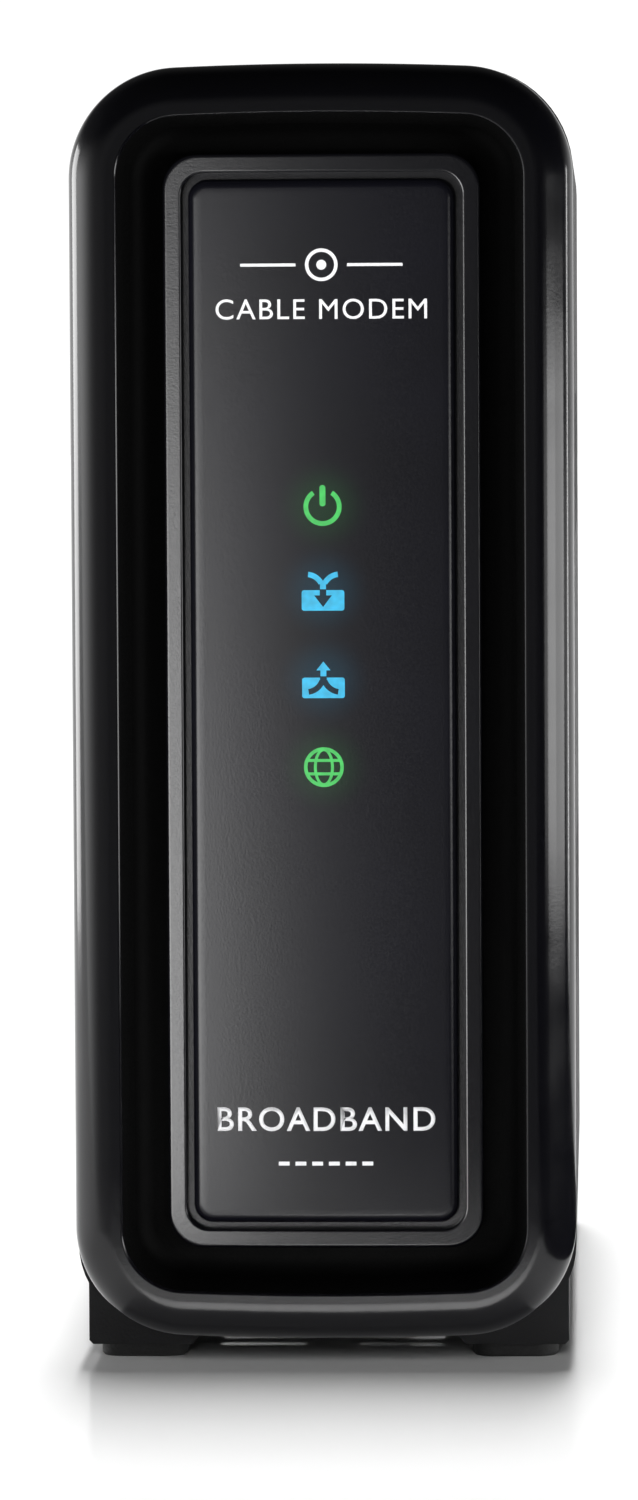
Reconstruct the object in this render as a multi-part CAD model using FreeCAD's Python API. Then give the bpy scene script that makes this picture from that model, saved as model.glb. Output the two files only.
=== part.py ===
"""Upright desktop cable modem, built as an assembly of separate pieces, in millimetres.

Frame: +Z up, the front looks along -Y, the origin is on the table under the middle of the modem.
The casing is two clamshell halves that meet at X = 0. A glossy bezel plugs into their front rim,
and an island of trim frame and face panel stands in the bezel's moat. The circuit board stands
upright inside, screwed to the right half, and its sockets show in a bay in the rear wall.
Depths named "behind the crest" are measured from the foremost plane of the bezel, towards +Y.
"""
import FreeCAD, Part
import math
import os
from FreeCAD import Vector

# Overall size
WIDTH = 50.8
HEIGHT = 132.0
DEPTH = 132.0
CREST_Y = -DEPTH / 2

# Casing outline, seen from the front
BODY_BOTTOM = 3.05
CROWN_RADIUS = 350.0
BEZEL_CORNER = 11.2
SHELL_TOP_CORNER = 10.7
SHELL_BOTTOM_CORNER = 8.8

# Casing halves
WALL = 2.0
SHELL_FRONT = 7.15
SHELL_REAR_Y = 58.0
REAR_EDGE_RADIUS = 3.5
SEAM_GAP = 0.06
RIM_THICKNESS = 2.05
BAY_HALF_WIDTH = 11.0
BAY_BOTTOM = 14.0
BAY_TOP = 118.0
BAY_DEPTH = 3.5
BAY_FACE_Y = SHELL_REAR_Y - BAY_DEPTH
BAY_INSIDE_Y = BAY_FACE_Y - WALL

# Bezel
BEZEL_FILLET = 3.9
BEZEL_WIDTH = 5.0
BEZEL_SIDE = 7.0
EDGE_BREAK = 0.25
MOAT_DEPTH = 7.6
MOAT_WALL_LEAN = 1.1
MOAT_FILLET = 1.8
MOAT_FLOOR_THICKNESS = 1.6
GROOVE_OUTSIDE = 1.95
GROOVE_INSIDE = 3.75
GROOVE_START = 2.6

# Island in the moat: trim frame round the face panel
ISLAND_WIDTH = 32.1
ISLAND_HEIGHT = 110.95
ISLAND_CORNER = 3.5
ISLAND_MIDDLE_Z = (HEIGHT + BODY_BOTTOM) / 2
FRAME_FRONT = 5.0
FRAME_WIDTH = 1.85
FRAME_CHAMFER = 0.35
FRAME_SHELF = 6.5
FRAME_OPENING_INSET = 4.6
PANEL_GAP = 0.7
PANEL_FRONT = 4.8
PANEL_EDGE_RADIUS = 0.95
ISLAND_CROWN_RADIUS = 260.0

# Lit symbols in the face panel
SYMBOL_ZS = (87.4, 78.95, 70.1, 61.05)
SYMBOL_DEPTH = 0.4
SYMBOL_SKIN = 0.2

# Feet
PAD_HEIGHT = 1.5
FOOT_INSIDE = 14.0
FOOT_OUTSIDE = 24.6
FOOT_LENGTH = 24.0
FOOT_STARTS = (-56.0, 28.0)

# Ventilation slots and the label underneath
VENT_PITCH = 5.0
VENT_WIDTH = 2.0
VENT_SIDE_ZS = (44.0, 91.0)
LABEL_THICKNESS = 0.23
LABEL_TOP = BODY_BOTTOM + 0.45

# Circuit board, standing upright, with its parts on the face towards -X
BOARD_FACE_X = 7.0
BOARD_THICKNESS = 1.6
BOARD_FRONT_Y = -52.0
BOARD_REAR_Y = 50.5
BOARD_BOTTOM = 20.0
BOARD_TOP = 112.0
BOARD_BACK_X = BOARD_FACE_X + BOARD_THICKNESS
BOARD_SCREWS = ((-46.0, 26.0), (-46.0, 106.0), (24.0, 25.5), (16.0, 107.0))

# Sockets in the rear bay
ETHERNET_Z = 98.0
ETHERNET_X = 0.3
RESET_Z = 79.0
RESET_X = 3.0
RESET_HOLE_RADIUS = 1.2
COAX_Z = 60.0
COAX_THREAD_RADIUS = 4.76
COAX_NECK_RADIUS = 4.2
POWER_Z = 29.0
POWER_X = 0.5
POWER_BORE_RADIUS = 3.15
POWER_PIN_RADIUS = 1.0

# Case screws, along X, from the left half into the right half
CASE_SCREW_Y = 36.0
CASE_SCREW_ZS = (15.0, 117.0)

os.makedirs("parts", exist_ok=True)


def save(name, shape):
    """Writes one node's solids to its STEP file."""
    solids = shape.Solids
    assert solids, name
    for solid in solids:
        assert solid.isValid() and solid.Volume > 0, name
    out = solids[0] if len(solids) == 1 else Part.makeCompound(solids)
    out.exportStep("parts/" + name + ".step")


def box(x0, x1, y0, y1, z0, z1):
    return Part.makeBox(x1 - x0, y1 - y0, z1 - z0, Vector(x0, y0, z0))


def rod_x(x0, x1, y, z, radius):
    return Part.makeCylinder(radius, x1 - x0, Vector(x0, y, z), Vector(1, 0, 0))


def rod_y(y0, y1, x, z, radius):
    return Part.makeCylinder(radius, y1 - y0, Vector(x, y0, z), Vector(0, 1, 0))


def fuse(shapes):
    shapes = list(shapes)
    return shapes[0].multiFuse(shapes[1:]) if len(shapes) > 1 else shapes[0]


def mirrored(shape):
    """The same shape on the other side of the plane X = 0."""
    return shape.mirror(Vector(0, 0, 0), Vector(1, 0, 0))


# ---------------------------------------------------------------- outlines seen from the front


def corner_centre(corner, half_width, rise):
    """Centre of a corner arc that is tangent to a straight side and to a crowned end."""
    across = half_width - corner
    drop = CROWN_RADIUS - math.sqrt((CROWN_RADIUS - corner) ** 2 - across**2)
    return across, rise - drop


def outline(inset, y, top_corner, bottom_corner):
    """Closed outline of the body at depth y: straight sides, round corners, crowned ends.

    Every arc keeps its centre as the inset grows, so the outlines stay parallel.
    """
    half = WIDTH / 2
    middle = (HEIGHT + BODY_BOTTOM) / 2
    rise = (HEIGHT - BODY_BOTTOM) / 2
    edges = []
    ends = []
    for sign, corner in ((1, top_corner), (-1, bottom_corner)):
        across, up = corner_centre(corner, half, rise)
        crown = CROWN_RADIUS - inset
        lean = math.atan2(across, CROWN_RADIUS - rise + up)
        radius = corner - inset
        joint = (crown * math.sin(lean), rise - CROWN_RADIUS + crown * math.cos(lean))
        bisect = (math.pi / 2 - lean) / 2
        bulge = (across + radius * math.cos(bisect), up + radius * math.sin(bisect))

        def at(x, z, sign=sign):
            return Vector(x, y, middle + sign * z)

        crest = rise - inset
        edges.append(Part.Arc(at(-joint[0], joint[1]), at(0, crest), at(*joint)).toShape())
        for side in (1, -1):
            side_end = at(side * (half - inset), up)
            curve = Part.Arc(at(side * joint[0], joint[1]), at(side * bulge[0], bulge[1]), side_end)
            edges.append(curve.toShape())
        ends.append(up)
    for side in (1, -1):
        low = Vector(side * (half - inset), y, middle - ends[1])
        high = Vector(side * (half - inset), y, middle + ends[0])
        edges.append(Part.makeLine(low, high))
    return Part.Wire(Part.__sortEdges__(edges))


def body_block(inset, y0, y1, top_corner, bottom_corner):
    """The body outline, moved in by inset, as a solid block from y0 to y1."""
    face = Part.Face(outline(inset, y0, top_corner, bottom_corner))
    return face.extrude(Vector(0, y1 - y0, 0))


def bezel_block(inset, y0, y1):
    return body_block(inset, y0, y1, BEZEL_CORNER, BEZEL_CORNER)


def shell_block(inset, y0, y1):
    return body_block(inset, y0, y1, SHELL_TOP_CORNER, SHELL_BOTTOM_CORNER)


def plate(width, height, corner, y0, y1, x=0.0, z=ISLAND_MIDDLE_Z):
    """Flat rounded-rectangle block facing the front."""
    block = box(x - width / 2, x + width / 2, y0, y1, z - height / 2, z + height / 2)
    upright = [e for e in block.Edges if abs(e.tangentAt(e.FirstParameter).y) > 0.99]
    return block.makeFillet(corner, upright)


def island(inset, front, back):
    """The island outline, moved in by inset, between two depths behind the crest."""
    corner = max(ISLAND_CORNER - 0.6 * inset, 0.8)
    size = (ISLAND_WIDTH - 2 * inset, ISLAND_HEIGHT - 2 * inset)
    return plate(size[0], size[1], corner, CREST_Y + front, CREST_Y + back)


# ---------------------------------------------------------------- front bezel


def bezel_section(start, inward):
    """Cross-section of the bezel ring as a face, at a point of the outline.

    Its coordinates are the inset from the outline and the depth behind the crest.
    """

    def at(inset, depth):
        return start + inward * inset + Vector(0, CREST_Y + depth, 0)

    lean = math.atan2(MOAT_WALL_LEAN, MOAT_DEPTH - EDGE_BREAK)
    foot = BEZEL_WIDTH + MOAT_WALL_LEAN
    reach = MOAT_FILLET * math.tan(math.pi / 4 - lean / 2)
    wall_end = (foot - reach * math.sin(lean), MOAT_DEPTH - reach * math.cos(lean))
    floor_start = foot + reach
    turn = (math.pi / 2 - lean) / 2
    hollow = (floor_start - MOAT_FILLET * math.sin(turn), MOAT_DEPTH - MOAT_FILLET * (1 - math.cos(turn)))
    back = MOAT_DEPTH + MOAT_FLOOR_THICKNESS
    floor_end = floor_start + 0.8
    bend = BEZEL_FILLET * (1 - math.sqrt(0.5))
    nose = EDGE_BREAK * (1 - math.sqrt(0.5))
    edges = [
        Part.makeLine(at(0.12, BEZEL_SIDE), at(0, BEZEL_FILLET)),
        Part.Arc(at(0, BEZEL_FILLET), at(bend, bend), at(BEZEL_FILLET, 0)).toShape(),
        Part.makeLine(at(BEZEL_FILLET, 0), at(BEZEL_WIDTH - EDGE_BREAK, 0)),
        Part.Arc(
            at(BEZEL_WIDTH - EDGE_BREAK, 0), at(BEZEL_WIDTH - nose, nose), at(BEZEL_WIDTH, EDGE_BREAK)
        ).toShape(),
        Part.makeLine(at(BEZEL_WIDTH, EDGE_BREAK), at(*wall_end)),
        Part.Arc(at(*wall_end), at(*hollow), at(floor_start, MOAT_DEPTH)).toShape(),
    ]
    corners = [
        (floor_start, MOAT_DEPTH),
        (floor_end, MOAT_DEPTH),
        (floor_end, back),
        (GROOVE_INSIDE, back),
        (GROOVE_INSIDE, GROOVE_START),
        (GROOVE_OUTSIDE, GROOVE_START),
        (GROOVE_OUTSIDE, BEZEL_SIDE),
        (0.12, BEZEL_SIDE),
    ]
    edges += [Part.makeLine(at(*a), at(*b)) for a, b in zip(corners, corners[1:])]
    return Part.Face(Part.Wire(edges))


def bezel_ring():
    """The bezel section swept round the outline: pushed along the sides, turned about each arc."""
    half = WIDTH / 2
    middle = (HEIGHT + BODY_BOTTOM) / 2
    rise = (HEIGHT - BODY_BOTTOM) / 2
    across, up = corner_centre(BEZEL_CORNER, half, rise)
    lean = math.degrees(math.atan2(across, CROWN_RADIUS - rise + up))
    depthwise = Vector(0, 1, 0)
    side = bezel_section(Vector(half, 0, middle - up), Vector(-1, 0, 0)).extrude(Vector(0, 0, 2 * up))
    corner_axis = Vector(across, 0, middle + up)
    corner_face = bezel_section(Vector(half, 0, middle + up), Vector(-1, 0, 0))
    corner = corner_face.revolve(corner_axis, depthwise, -(90 - lean))
    crown_axis = Vector(0, 0, middle + rise - CROWN_RADIUS)
    crown_face = bezel_section(Vector(0, 0, middle + rise), Vector(0, 0, -1))
    crown = crown_face.revolve(crown_axis, depthwise, lean)
    flip = Vector(0, 0, 1)
    quarter = [corner, crown]
    upper = quarter + [mirrored(s) for s in quarter]
    lower = [s.mirror(Vector(0, 0, middle), flip) for s in upper]
    return fuse(upper + lower + [side, mirrored(side)])


def bezel_hook(width):
    """A snap arm behind the moat floor, drawn for the right side, centred on Z = 0."""
    back = CREST_Y + MOAT_DEPTH + MOAT_FLOOR_THICKNESS
    x = WIDTH / 2
    points = [
        (x - 5.3, back - 0.5),
        (x - 4.0, back - 0.5),
        (x - 4.0, back + 0.02),
        (x - 3.0, back + 0.02),
        (x - 3.9, back + 3.2),
        (x - 5.3, back + 3.2),
    ]
    wire = Part.makePolygon([Vector(px, py, -width / 2) for px, py in points + points[:1]])
    return Part.Face(wire).extrude(Vector(0, 0, width))


def front_bezel():
    floor = bezel_block(7.2, CREST_Y + MOAT_DEPTH, CREST_Y + MOAT_DEPTH + MOAT_FLOOR_THICKNESS)
    opening = island(1.5, MOAT_DEPTH - 1, MOAT_DEPTH + MOAT_FLOOR_THICKNESS + 1)
    pieces = [bezel_ring(), floor.cut(opening)]
    side_hook = bezel_hook(7.0)
    for z in (34.0, 67.0, 101.0):
        hook = side_hook.translated(Vector(0, 0, z))
        pieces += [hook, mirrored(hook)]
    end_hook = side_hook.translated(Vector(-WIDTH / 2, 0, 0))
    for x in (-8.5, 8.5):
        for angle, z in ((-90, HEIGHT), (90, BODY_BOTTOM)):
            hook = end_hook.copy()
            hook.rotate(Vector(0, 0, 0), Vector(0, 1, 0), angle)
            pieces.append(hook.translated(Vector(x, 0, z)))
    return fuse(pieces).removeSplitter()


# ---------------------------------------------------------------- casing halves


def slot(axis, length, width, depth, middle):
    """Block with rounded ends that starts at its middle point and runs out along one axis."""
    block = box(-width / 2, width / 2, -length / 2, length / 2, 0, depth)
    upright = [e for e in block.Edges if abs(e.tangentAt(e.FirstParameter).z) > 0.99]
    block = block.makeFillet(width * 0.47, upright)
    block.rotate(Vector(0, 0, 0), Vector(0, 0, 1), 0 if axis == "x" else 90)
    block.rotate(Vector(0, 0, 0), Vector(0, 1, 0), {"z": 0, "x": 90}[axis])
    if axis == "x":
        block.rotate(Vector(0, 0, 0), Vector(1, 0, 0), 90)
    return block.translated(middle)


def vent_tools(side):
    """Slots cut through one half: rows in the top, the bottom and the side wall."""
    tools = []
    for i in range(19):
        tools.append(slot("z", 14.0, VENT_WIDTH, 12.0, Vector(side * 10.0, -45.0 + i * VENT_PITCH, HEIGHT - 6)))
    for i in range(10):
        tools.append(slot("z", 9.0, VENT_WIDTH, 7.0, Vector(side * 7.2, -45.0 + i * VENT_PITCH, 0)))
    for i in range(13):
        for z in VENT_SIDE_ZS:
            start = side * WIDTH / 2 - 6.0
            tools.append(slot("x", 15.0, VENT_WIDTH, 12.0, Vector(start, -35.0 + i * VENT_PITCH, z)))
    return tools


def rear_opening_tools():
    """Openings of the rear bay for the sockets and the reset pinhole."""
    y0 = BAY_INSIDE_Y - 1
    y1 = BAY_FACE_Y + 1
    ethernet = box(ETHERNET_X - 6.9, ETHERNET_X + 6.9, y0, y1, ETHERNET_Z - 8.15, ETHERNET_Z + 8.15)
    power = box(POWER_X - 5.7, BOARD_FACE_X + 0.2, y0, y1, POWER_Z - 4.7, POWER_Z + 4.7)
    coax = rod_y(y0, y1, 0, COAX_Z, COAX_THREAD_RADIUS + 0.2)
    reset = rod_y(y0, y1, RESET_X, RESET_Z, RESET_HOLE_RADIUS)
    return [ethernet, power, coax, reset]


def foot_block(y0):
    """One foot under the right corner, from table clearance up into the round of the shell."""
    points = [
        (FOOT_INSIDE - 1.2, 3.6),
        (FOOT_INSIDE - 1.2, BODY_BOTTOM),
        (FOOT_INSIDE, PAD_HEIGHT),
        (FOOT_OUTSIDE - 0.4, PAD_HEIGHT),
        (FOOT_OUTSIDE, PAD_HEIGHT + 0.4),
        (FOOT_OUTSIDE, 13.0),
        (FOOT_INSIDE + 4, 13.0),
    ]
    wire = Part.makePolygon([Vector(x, y0, z) for x, z in points + points[:1]])
    return Part.Face(wire).extrude(Vector(0, FOOT_LENGTH, 0))


def whole_casing():
    """Both halves in one piece, before they are split at X = 0."""
    front = CREST_Y + SHELL_FRONT
    outer = shell_block(0, front, SHELL_REAR_Y)
    rear_edges = [e for e in outer.Edges if e.BoundBox.YMin > SHELL_REAR_Y - 0.01]
    outer = outer.makeFillet(REAR_EDGE_RADIUS, rear_edges)
    feet = [foot_block(y) for y in FOOT_STARTS]
    outer = fuse([outer] + feet + [mirrored(f) for f in feet])
    rim_end = front + RIM_THICKNESS
    cavity = shell_block(WALL, rim_end, SHELL_REAR_Y - WALL)
    cavity_edges = [e for e in cavity.Edges if e.BoundBox.YMin > SHELL_REAR_Y - WALL - 0.01]
    cavity = cavity.makeFillet(REAR_EDGE_RADIUS - WALL, cavity_edges)
    rim_hole = bezel_block(GROOVE_INSIDE - 0.2, front - 1, rim_end + 1)
    casing = outer.cut(cavity).cut(rim_hole)
    tongue = bezel_block(GROOVE_OUTSIDE + 0.1, front - 3.9, front + 0.5)
    tongue = tongue.cut(bezel_block(GROOVE_INSIDE - 0.2, front - 5, front + 1))
    bay_size = (2 * BAY_HALF_WIDTH, BAY_TOP - BAY_BOTTOM)
    bay_z = (BAY_TOP + BAY_BOTTOM) / 2
    bay = plate(bay_size[0], bay_size[1], 3.0, BAY_FACE_Y, SHELL_REAR_Y + 1, z=bay_z)
    bay_walls = plate(
        bay_size[0] + 2 * WALL, bay_size[1] + 2 * WALL, 3.0 + WALL, BAY_INSIDE_Y, SHELL_REAR_Y - 1, z=bay_z
    )
    casing = fuse([casing, tongue, bay_walls]).cut(bay)
    label_pocket = box(-12.4, -1.4, 5.0, 49.0, 2.0, LABEL_TOP)
    return casing.cut(Part.makeCompound(rear_opening_tools() + [label_pocket]))


def seam_lip(extra, reach):
    """Band just inside the walls that crosses the seam; the right half is cut for it."""
    y0 = CREST_Y + SHELL_FRONT + RIM_THICKNESS + 2
    y1 = BAY_INSIDE_Y - 6
    band = shell_block(WALL / 2 + 0.1 - extra, y0 - extra, y1 + extra)
    band = band.cut(shell_block(WALL, y0 - 1, y1 + 1))
    return band.common(box(-0.5, reach, y0 - 1, y1 + 1, 0, HEIGHT))


def casing_halves():
    casing = whole_casing()
    big = 200.0
    left = casing.common(box(-big, -SEAM_GAP, -big, big, -10, big))
    right = casing.common(box(SEAM_GAP, big, -big, big, -10, big))
    wall_x = WIDTH / 2 - 1.0
    left_bosses = []
    right_bosses = []
    left_holes = vent_tools(-1)
    right_holes = vent_tools(1)
    for z in CASE_SCREW_ZS:
        left_bosses.append(rod_x(-wall_x, -SEAM_GAP, CASE_SCREW_Y, z, 4.2))
        left_holes.append(rod_x(-WIDTH, -3.0, CASE_SCREW_Y, z, 3.0))
        left_holes.append(rod_x(-WIDTH, 1.0, CASE_SCREW_Y, z, 1.75))
        right_bosses.append(rod_x(SEAM_GAP, wall_x, CASE_SCREW_Y, z, 3.4))
        right_holes.append(rod_x(-1.0, 14.0, CASE_SCREW_Y, z, 1.35))
    for y, z in BOARD_SCREWS:
        right_bosses.append(rod_x(BOARD_BACK_X, wall_x, y, z, 3.3))
        right_holes.append(rod_x(BOARD_BACK_X - 1, 19.0, y, z, 1.3))
    left = fuse([left, seam_lip(0.0, 1.4)] + left_bosses)
    right = fuse([right.cut(seam_lip(0.1, 1.6))] + right_bosses)
    left = left.cut(Part.makeCompound(left_holes))
    right = right.cut(Part.makeCompound(right_holes))
    return left, right


# ---------------------------------------------------------------- island: frame, panel, symbols


def crowned(block, front):
    """A block of the island with its front crowned across its width, front deep in the middle."""
    axis = Vector(0, CREST_Y + front + ISLAND_CROWN_RADIUS, 0)
    return block.common(Part.makeCylinder(ISLAND_CROWN_RADIUS, HEIGHT, axis, Vector(0, 0, 1)))


def panel_frame():
    raised = crowned(island(0, FRAME_FRONT - 1, MOAT_DEPTH), FRAME_FRONT)
    back = CREST_Y + MOAT_DEPTH
    front_edges = [e for e in raised.Edges if e.BoundBox.YMax < back - 0.8 and e.Length > 0.1]
    raised = raised.makeChamfer(FRAME_CHAMFER, front_edges)
    plug = island(1.6, MOAT_DEPTH - 0.5, MOAT_DEPTH + MOAT_FLOOR_THICKNESS)
    well = island(FRAME_WIDTH, FRAME_FRONT - 1, FRAME_SHELF)
    opening = island(FRAME_OPENING_INSET, FRAME_FRONT, MOAT_DEPTH + MOAT_FLOOR_THICKNESS + 1)
    return raised.fuse(plug).cut(well).cut(opening)


def panel_block():
    """The face panel before its symbols are cut: crowned across its width, with soft edges."""
    inset = FRAME_WIDTH + PANEL_GAP
    block = crowned(island(inset, PANEL_FRONT - 1, FRAME_SHELF), PANEL_FRONT)
    back = CREST_Y + FRAME_SHELF
    front_edges = [e for e in block.Edges if e.BoundBox.YMax < back - 0.8 and e.Length > 0.1]
    return block.makeFillet(PANEL_EDGE_RADIUS, front_edges)


def flat_face(points):
    """Face in the plane Y = 0 from (across, up) points."""
    wire = Part.makePolygon([Vector(u, 0, v) for u, v in points + points[:1]])
    return Part.Face(wire)


def disc(radius, u=0.0, v=0.0):
    circle = Part.Circle(Vector(u, 0, v), Vector(0, 1, 0), radius)
    return Part.Face(Part.Wire(circle.toShape()))


def oval(half_width, half_height):
    """Upright ellipse about the origin."""
    ellipse = Part.Ellipse(Vector(0, 0, half_height), Vector(half_width, 0, 0), Vector(0, 0, 0))
    return Part.Face(Part.Wire(ellipse.toShape()))


def strip(u0, u1, v0, v1):
    return flat_face([(u0, v0), (u1, v0), (u1, v1), (u0, v1)])


def rounded_strip(u0, u1, v0, v1, radius):
    """Rectangle with round corners, from two crossed strips and four discs."""
    shapes = [strip(u0 + radius, u1 - radius, v0, v1), strip(u0, u1, v0 + radius, v1 - radius)]
    shapes += [disc(radius, u, v) for u in (u0 + radius, u1 - radius) for v in (v0 + radius, v1 - radius)]
    return fuse(shapes)


def stroke(points, width):
    """A bent stroke of constant width through three points, as a band between two arcs."""
    a, b, c = (Vector(u, 0, v) for u, v in points)
    circle = Part.Arc(a, b, c).toShape().Curve
    centre = circle.Center
    radius = circle.Radius

    def shifted(p, r):
        away = (p - centre).normalize()
        return centre + away * r

    outer = [shifted(p, radius + width / 2) for p in (a, b, c)]
    inner = [shifted(p, radius - width / 2) for p in (c, b, a)]
    edges = [
        Part.Arc(*outer).toShape(),
        Part.makeLine(outer[2], inner[0]),
        Part.Arc(*inner).toShape(),
        Part.makeLine(inner[2], outer[0]),
    ]
    return Part.Face(Part.Wire(edges))


def power_symbol():
    """Broken ring with a bar in its gap."""
    ring = disc(1.93).cut(disc(1.45))
    gap = flat_face([(0, 0), (-1.9, 2.9), (1.9, 2.9)])
    return fuse([ring.cut(gap), rounded_strip(-0.3, 0.3, 0.05, 2.2, 0.28)])


def forked_stem(width):
    """Two arms that curve together into one stem, pointing down from V = 0."""
    left = stroke([(-1.5, 1.62), (-0.72, 1.33), (-0.18, 0.72)], width)
    right = stroke([(1.5, 1.62), (0.72, 1.33), (0.18, 0.72)], width)
    return fuse([left, right, strip(-0.3, 0.3, 0.12, 0.82)])


def receive_symbol():
    """Forked arrow that points down into a tray."""
    tray = rounded_strip(-2.16, 2.16, -2.05, 0.03, 0.25)
    arrow = flat_face([(-0.33, 0.1), (0.33, 0.1), (0.33, -0.5), (0.9, -0.5), (0, -1.68), (-0.9, -0.5), (-0.33, -0.5)])
    return fuse([tray.cut(arrow), forked_stem(0.55)])


def send_symbol():
    """Tray with a forked stem cut out of it, and an arrow that points up."""
    tray = rounded_strip(-2.16, 2.16, -2.05, 0.03, 0.25)
    left = stroke([(-1.5, -1.42), (-0.75, -1.12), (-0.12, -0.3)], 0.58)
    right = stroke([(1.5, -1.42), (0.75, -1.12), (0.12, -0.3)], 0.58)
    stem = strip(-0.34, 0.34, -0.5, 0.1)
    arrow = flat_face([(-0.3, 0.16), (0.3, 0.16), (0.3, 0.76), (0.72, 0.76), (0, 1.66), (-0.72, 0.76), (-0.3, 0.76)])
    return fuse([tray.cut(fuse([left, right, stem])), arrow])


def online_symbol():
    """Globe of two meridians and two parallels."""
    ring = disc(2.02).cut(disc(1.66))
    meridian = oval(1.02, 1.9).cut(oval(0.72, 1.62))
    bars = [strip(-1.85, 1.85, v - 0.15, v + 0.15) for v in (-0.68, 0.68)]
    return fuse([ring, meridian] + bars)


def symbols_and_panel():
    """Cuts each symbol into the panel's front and fills it with an inlay of the same shape."""
    panel = panel_block()
    front = CREST_Y + PANEL_FRONT
    names = ("power_symbol", "receive_symbol", "send_symbol", "online_symbol")
    faces = (power_symbol(), receive_symbol(), send_symbol(), online_symbol())
    inlays = {}
    for name, face, z in zip(names, faces, SYMBOL_ZS):
        blocks = [f.extrude(Vector(0, 1 + SYMBOL_DEPTH, 0)) for f in face.Faces]
        tool = fuse(blocks).removeSplitter().translated(Vector(0, front - 1, z))
        inlays[name] = panel.common(tool)
        panel = panel.cut(tool)
        well_start = front + SYMBOL_DEPTH + SYMBOL_SKIN
        panel = panel.cut(box(-2.9, 3.6, well_start, CREST_Y + FRAME_SHELF + 1, z - 2.6, z + 2.6))
    return panel, inlays


# ---------------------------------------------------------------- light guide, shroud and LEDs


GUIDE_FRONT = CREST_Y + PANEL_FRONT + SYMBOL_DEPTH + SYMBOL_SKIN + 0.15
GUIDE_BACK = BOARD_FRONT_Y - 0.8
LED_X = BOARD_FACE_X - 0.8
SHROUD_FRONT = CREST_Y + MOAT_DEPTH + MOAT_FLOOR_THICKNESS + 0.2


def taper(front, back, y0, y1):
    """Six-sided solid between two upright rectangles, each given as (x0, x1, z0, z1)."""
    rings = []
    for (xa, xb, za, zb), y in ((front, y0), (back, y1)):
        rings.append([Vector(xa, y, za), Vector(xb, y, za), Vector(xb, y, zb), Vector(xa, y, zb)])
    loops = list(rings)
    for i in range(4):
        j = (i + 1) % 4
        loops.append([rings[0][i], rings[0][j], rings[1][j], rings[1][i]])
    faces = [Part.Face(Part.makePolygon(loop + loop[:1])) for loop in loops]
    return Part.Solid(Part.Shell(faces))


def light_guide():
    """Four clear prisms, from the LEDs at the board's edge to the symbols, joined by a bar."""
    prisms = []
    for z in SYMBOL_ZS:
        tip = (-2.6, 2.6, z - 2.3, z + 2.3)
        root = (LED_X - 1.2, LED_X + 0.7, z - 1.4, z + 1.4)
        prisms.append(taper(tip, root, GUIDE_FRONT, GUIDE_BACK))
    bar = box(1.0, 3.4, SHROUD_FRONT - 1.0, SHROUD_FRONT, SYMBOL_ZS[-1] - 2, SYMBOL_ZS[0] + 2)
    return fuse(prisms + [bar])


def light_shroud():
    """Black baffle that keeps each LED's light in its own cell and grips the board's edge."""
    back = BOARD_FRONT_Y + 2.4
    low = SYMBOL_ZS[-1] - 4.5
    high = SYMBOL_ZS[0] + 4.5
    block = box(-1.0, BOARD_BACK_X + 1.4, SHROUD_FRONT, back, low, high)
    cells = [box(0.2, BOARD_FACE_X, SHROUD_FRONT - 1, back + 1, z - 2.6, z + 2.6) for z in SYMBOL_ZS]
    board_slot = box(BOARD_FACE_X, BOARD_BACK_X, BOARD_FRONT_Y, back + 1, low - 1, high + 1)
    return block.cut(Part.makeCompound(cells + [board_slot]))


def indicator_leds():
    leds = []
    for z in SYMBOL_ZS:
        body = box(LED_X - 0.8, BOARD_FACE_X, BOARD_FRONT_Y + 0.3, BOARD_FRONT_Y + 2.0, z - 1.5, z + 1.5)
        lens = box(LED_X - 0.5, LED_X + 0.5, BOARD_FRONT_Y - 0.3, BOARD_FRONT_Y + 0.3, z - 1.1, z + 1.1)
        leds.append(body.fuse(lens))
    return Part.makeCompound(leds)


# ---------------------------------------------------------------- circuit board and its parts


def on_board(y, z, length, height, thickness, lift=0.0):
    """A block standing on the board's component face, centred at (y, z)."""
    x1 = BOARD_FACE_X - lift
    return box(x1 - thickness, x1, y - length / 2, y + length / 2, z - height / 2, z + height / 2)


def main_board():
    length = BOARD_REAR_Y - BOARD_FRONT_Y
    height = BOARD_TOP - BOARD_BOTTOM
    y = (BOARD_REAR_Y + BOARD_FRONT_Y) / 2
    z = (BOARD_TOP + BOARD_BOTTOM) / 2
    block = box(BOARD_FACE_X, BOARD_BACK_X, y - length / 2, y + length / 2, z - height / 2, z + height / 2)
    through = [e for e in block.Edges if abs(e.tangentAt(e.FirstParameter).x) > 0.99]
    block = block.makeFillet(2.5, through)
    holes = [rod_x(BOARD_FACE_X - 1, BOARD_BACK_X + 1, y, z, 1.7) for y, z in BOARD_SCREWS]
    return block.cut(Part.makeCompound(holes))


CHIP_Y = -8.0
CHIP_Z = 68.0
CHIP_THICKNESS = 1.6
THERMAL_PAD_THICKNESS = 0.5
SINK_SIZE = 46.0
SINK_BASE = 2.6
SINK_FIN_HEIGHT = 14.0
SINK_PINS = ((CHIP_Y - 19.0, CHIP_Z + 19.0), (CHIP_Y + 19.0, CHIP_Z - 19.0))


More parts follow.
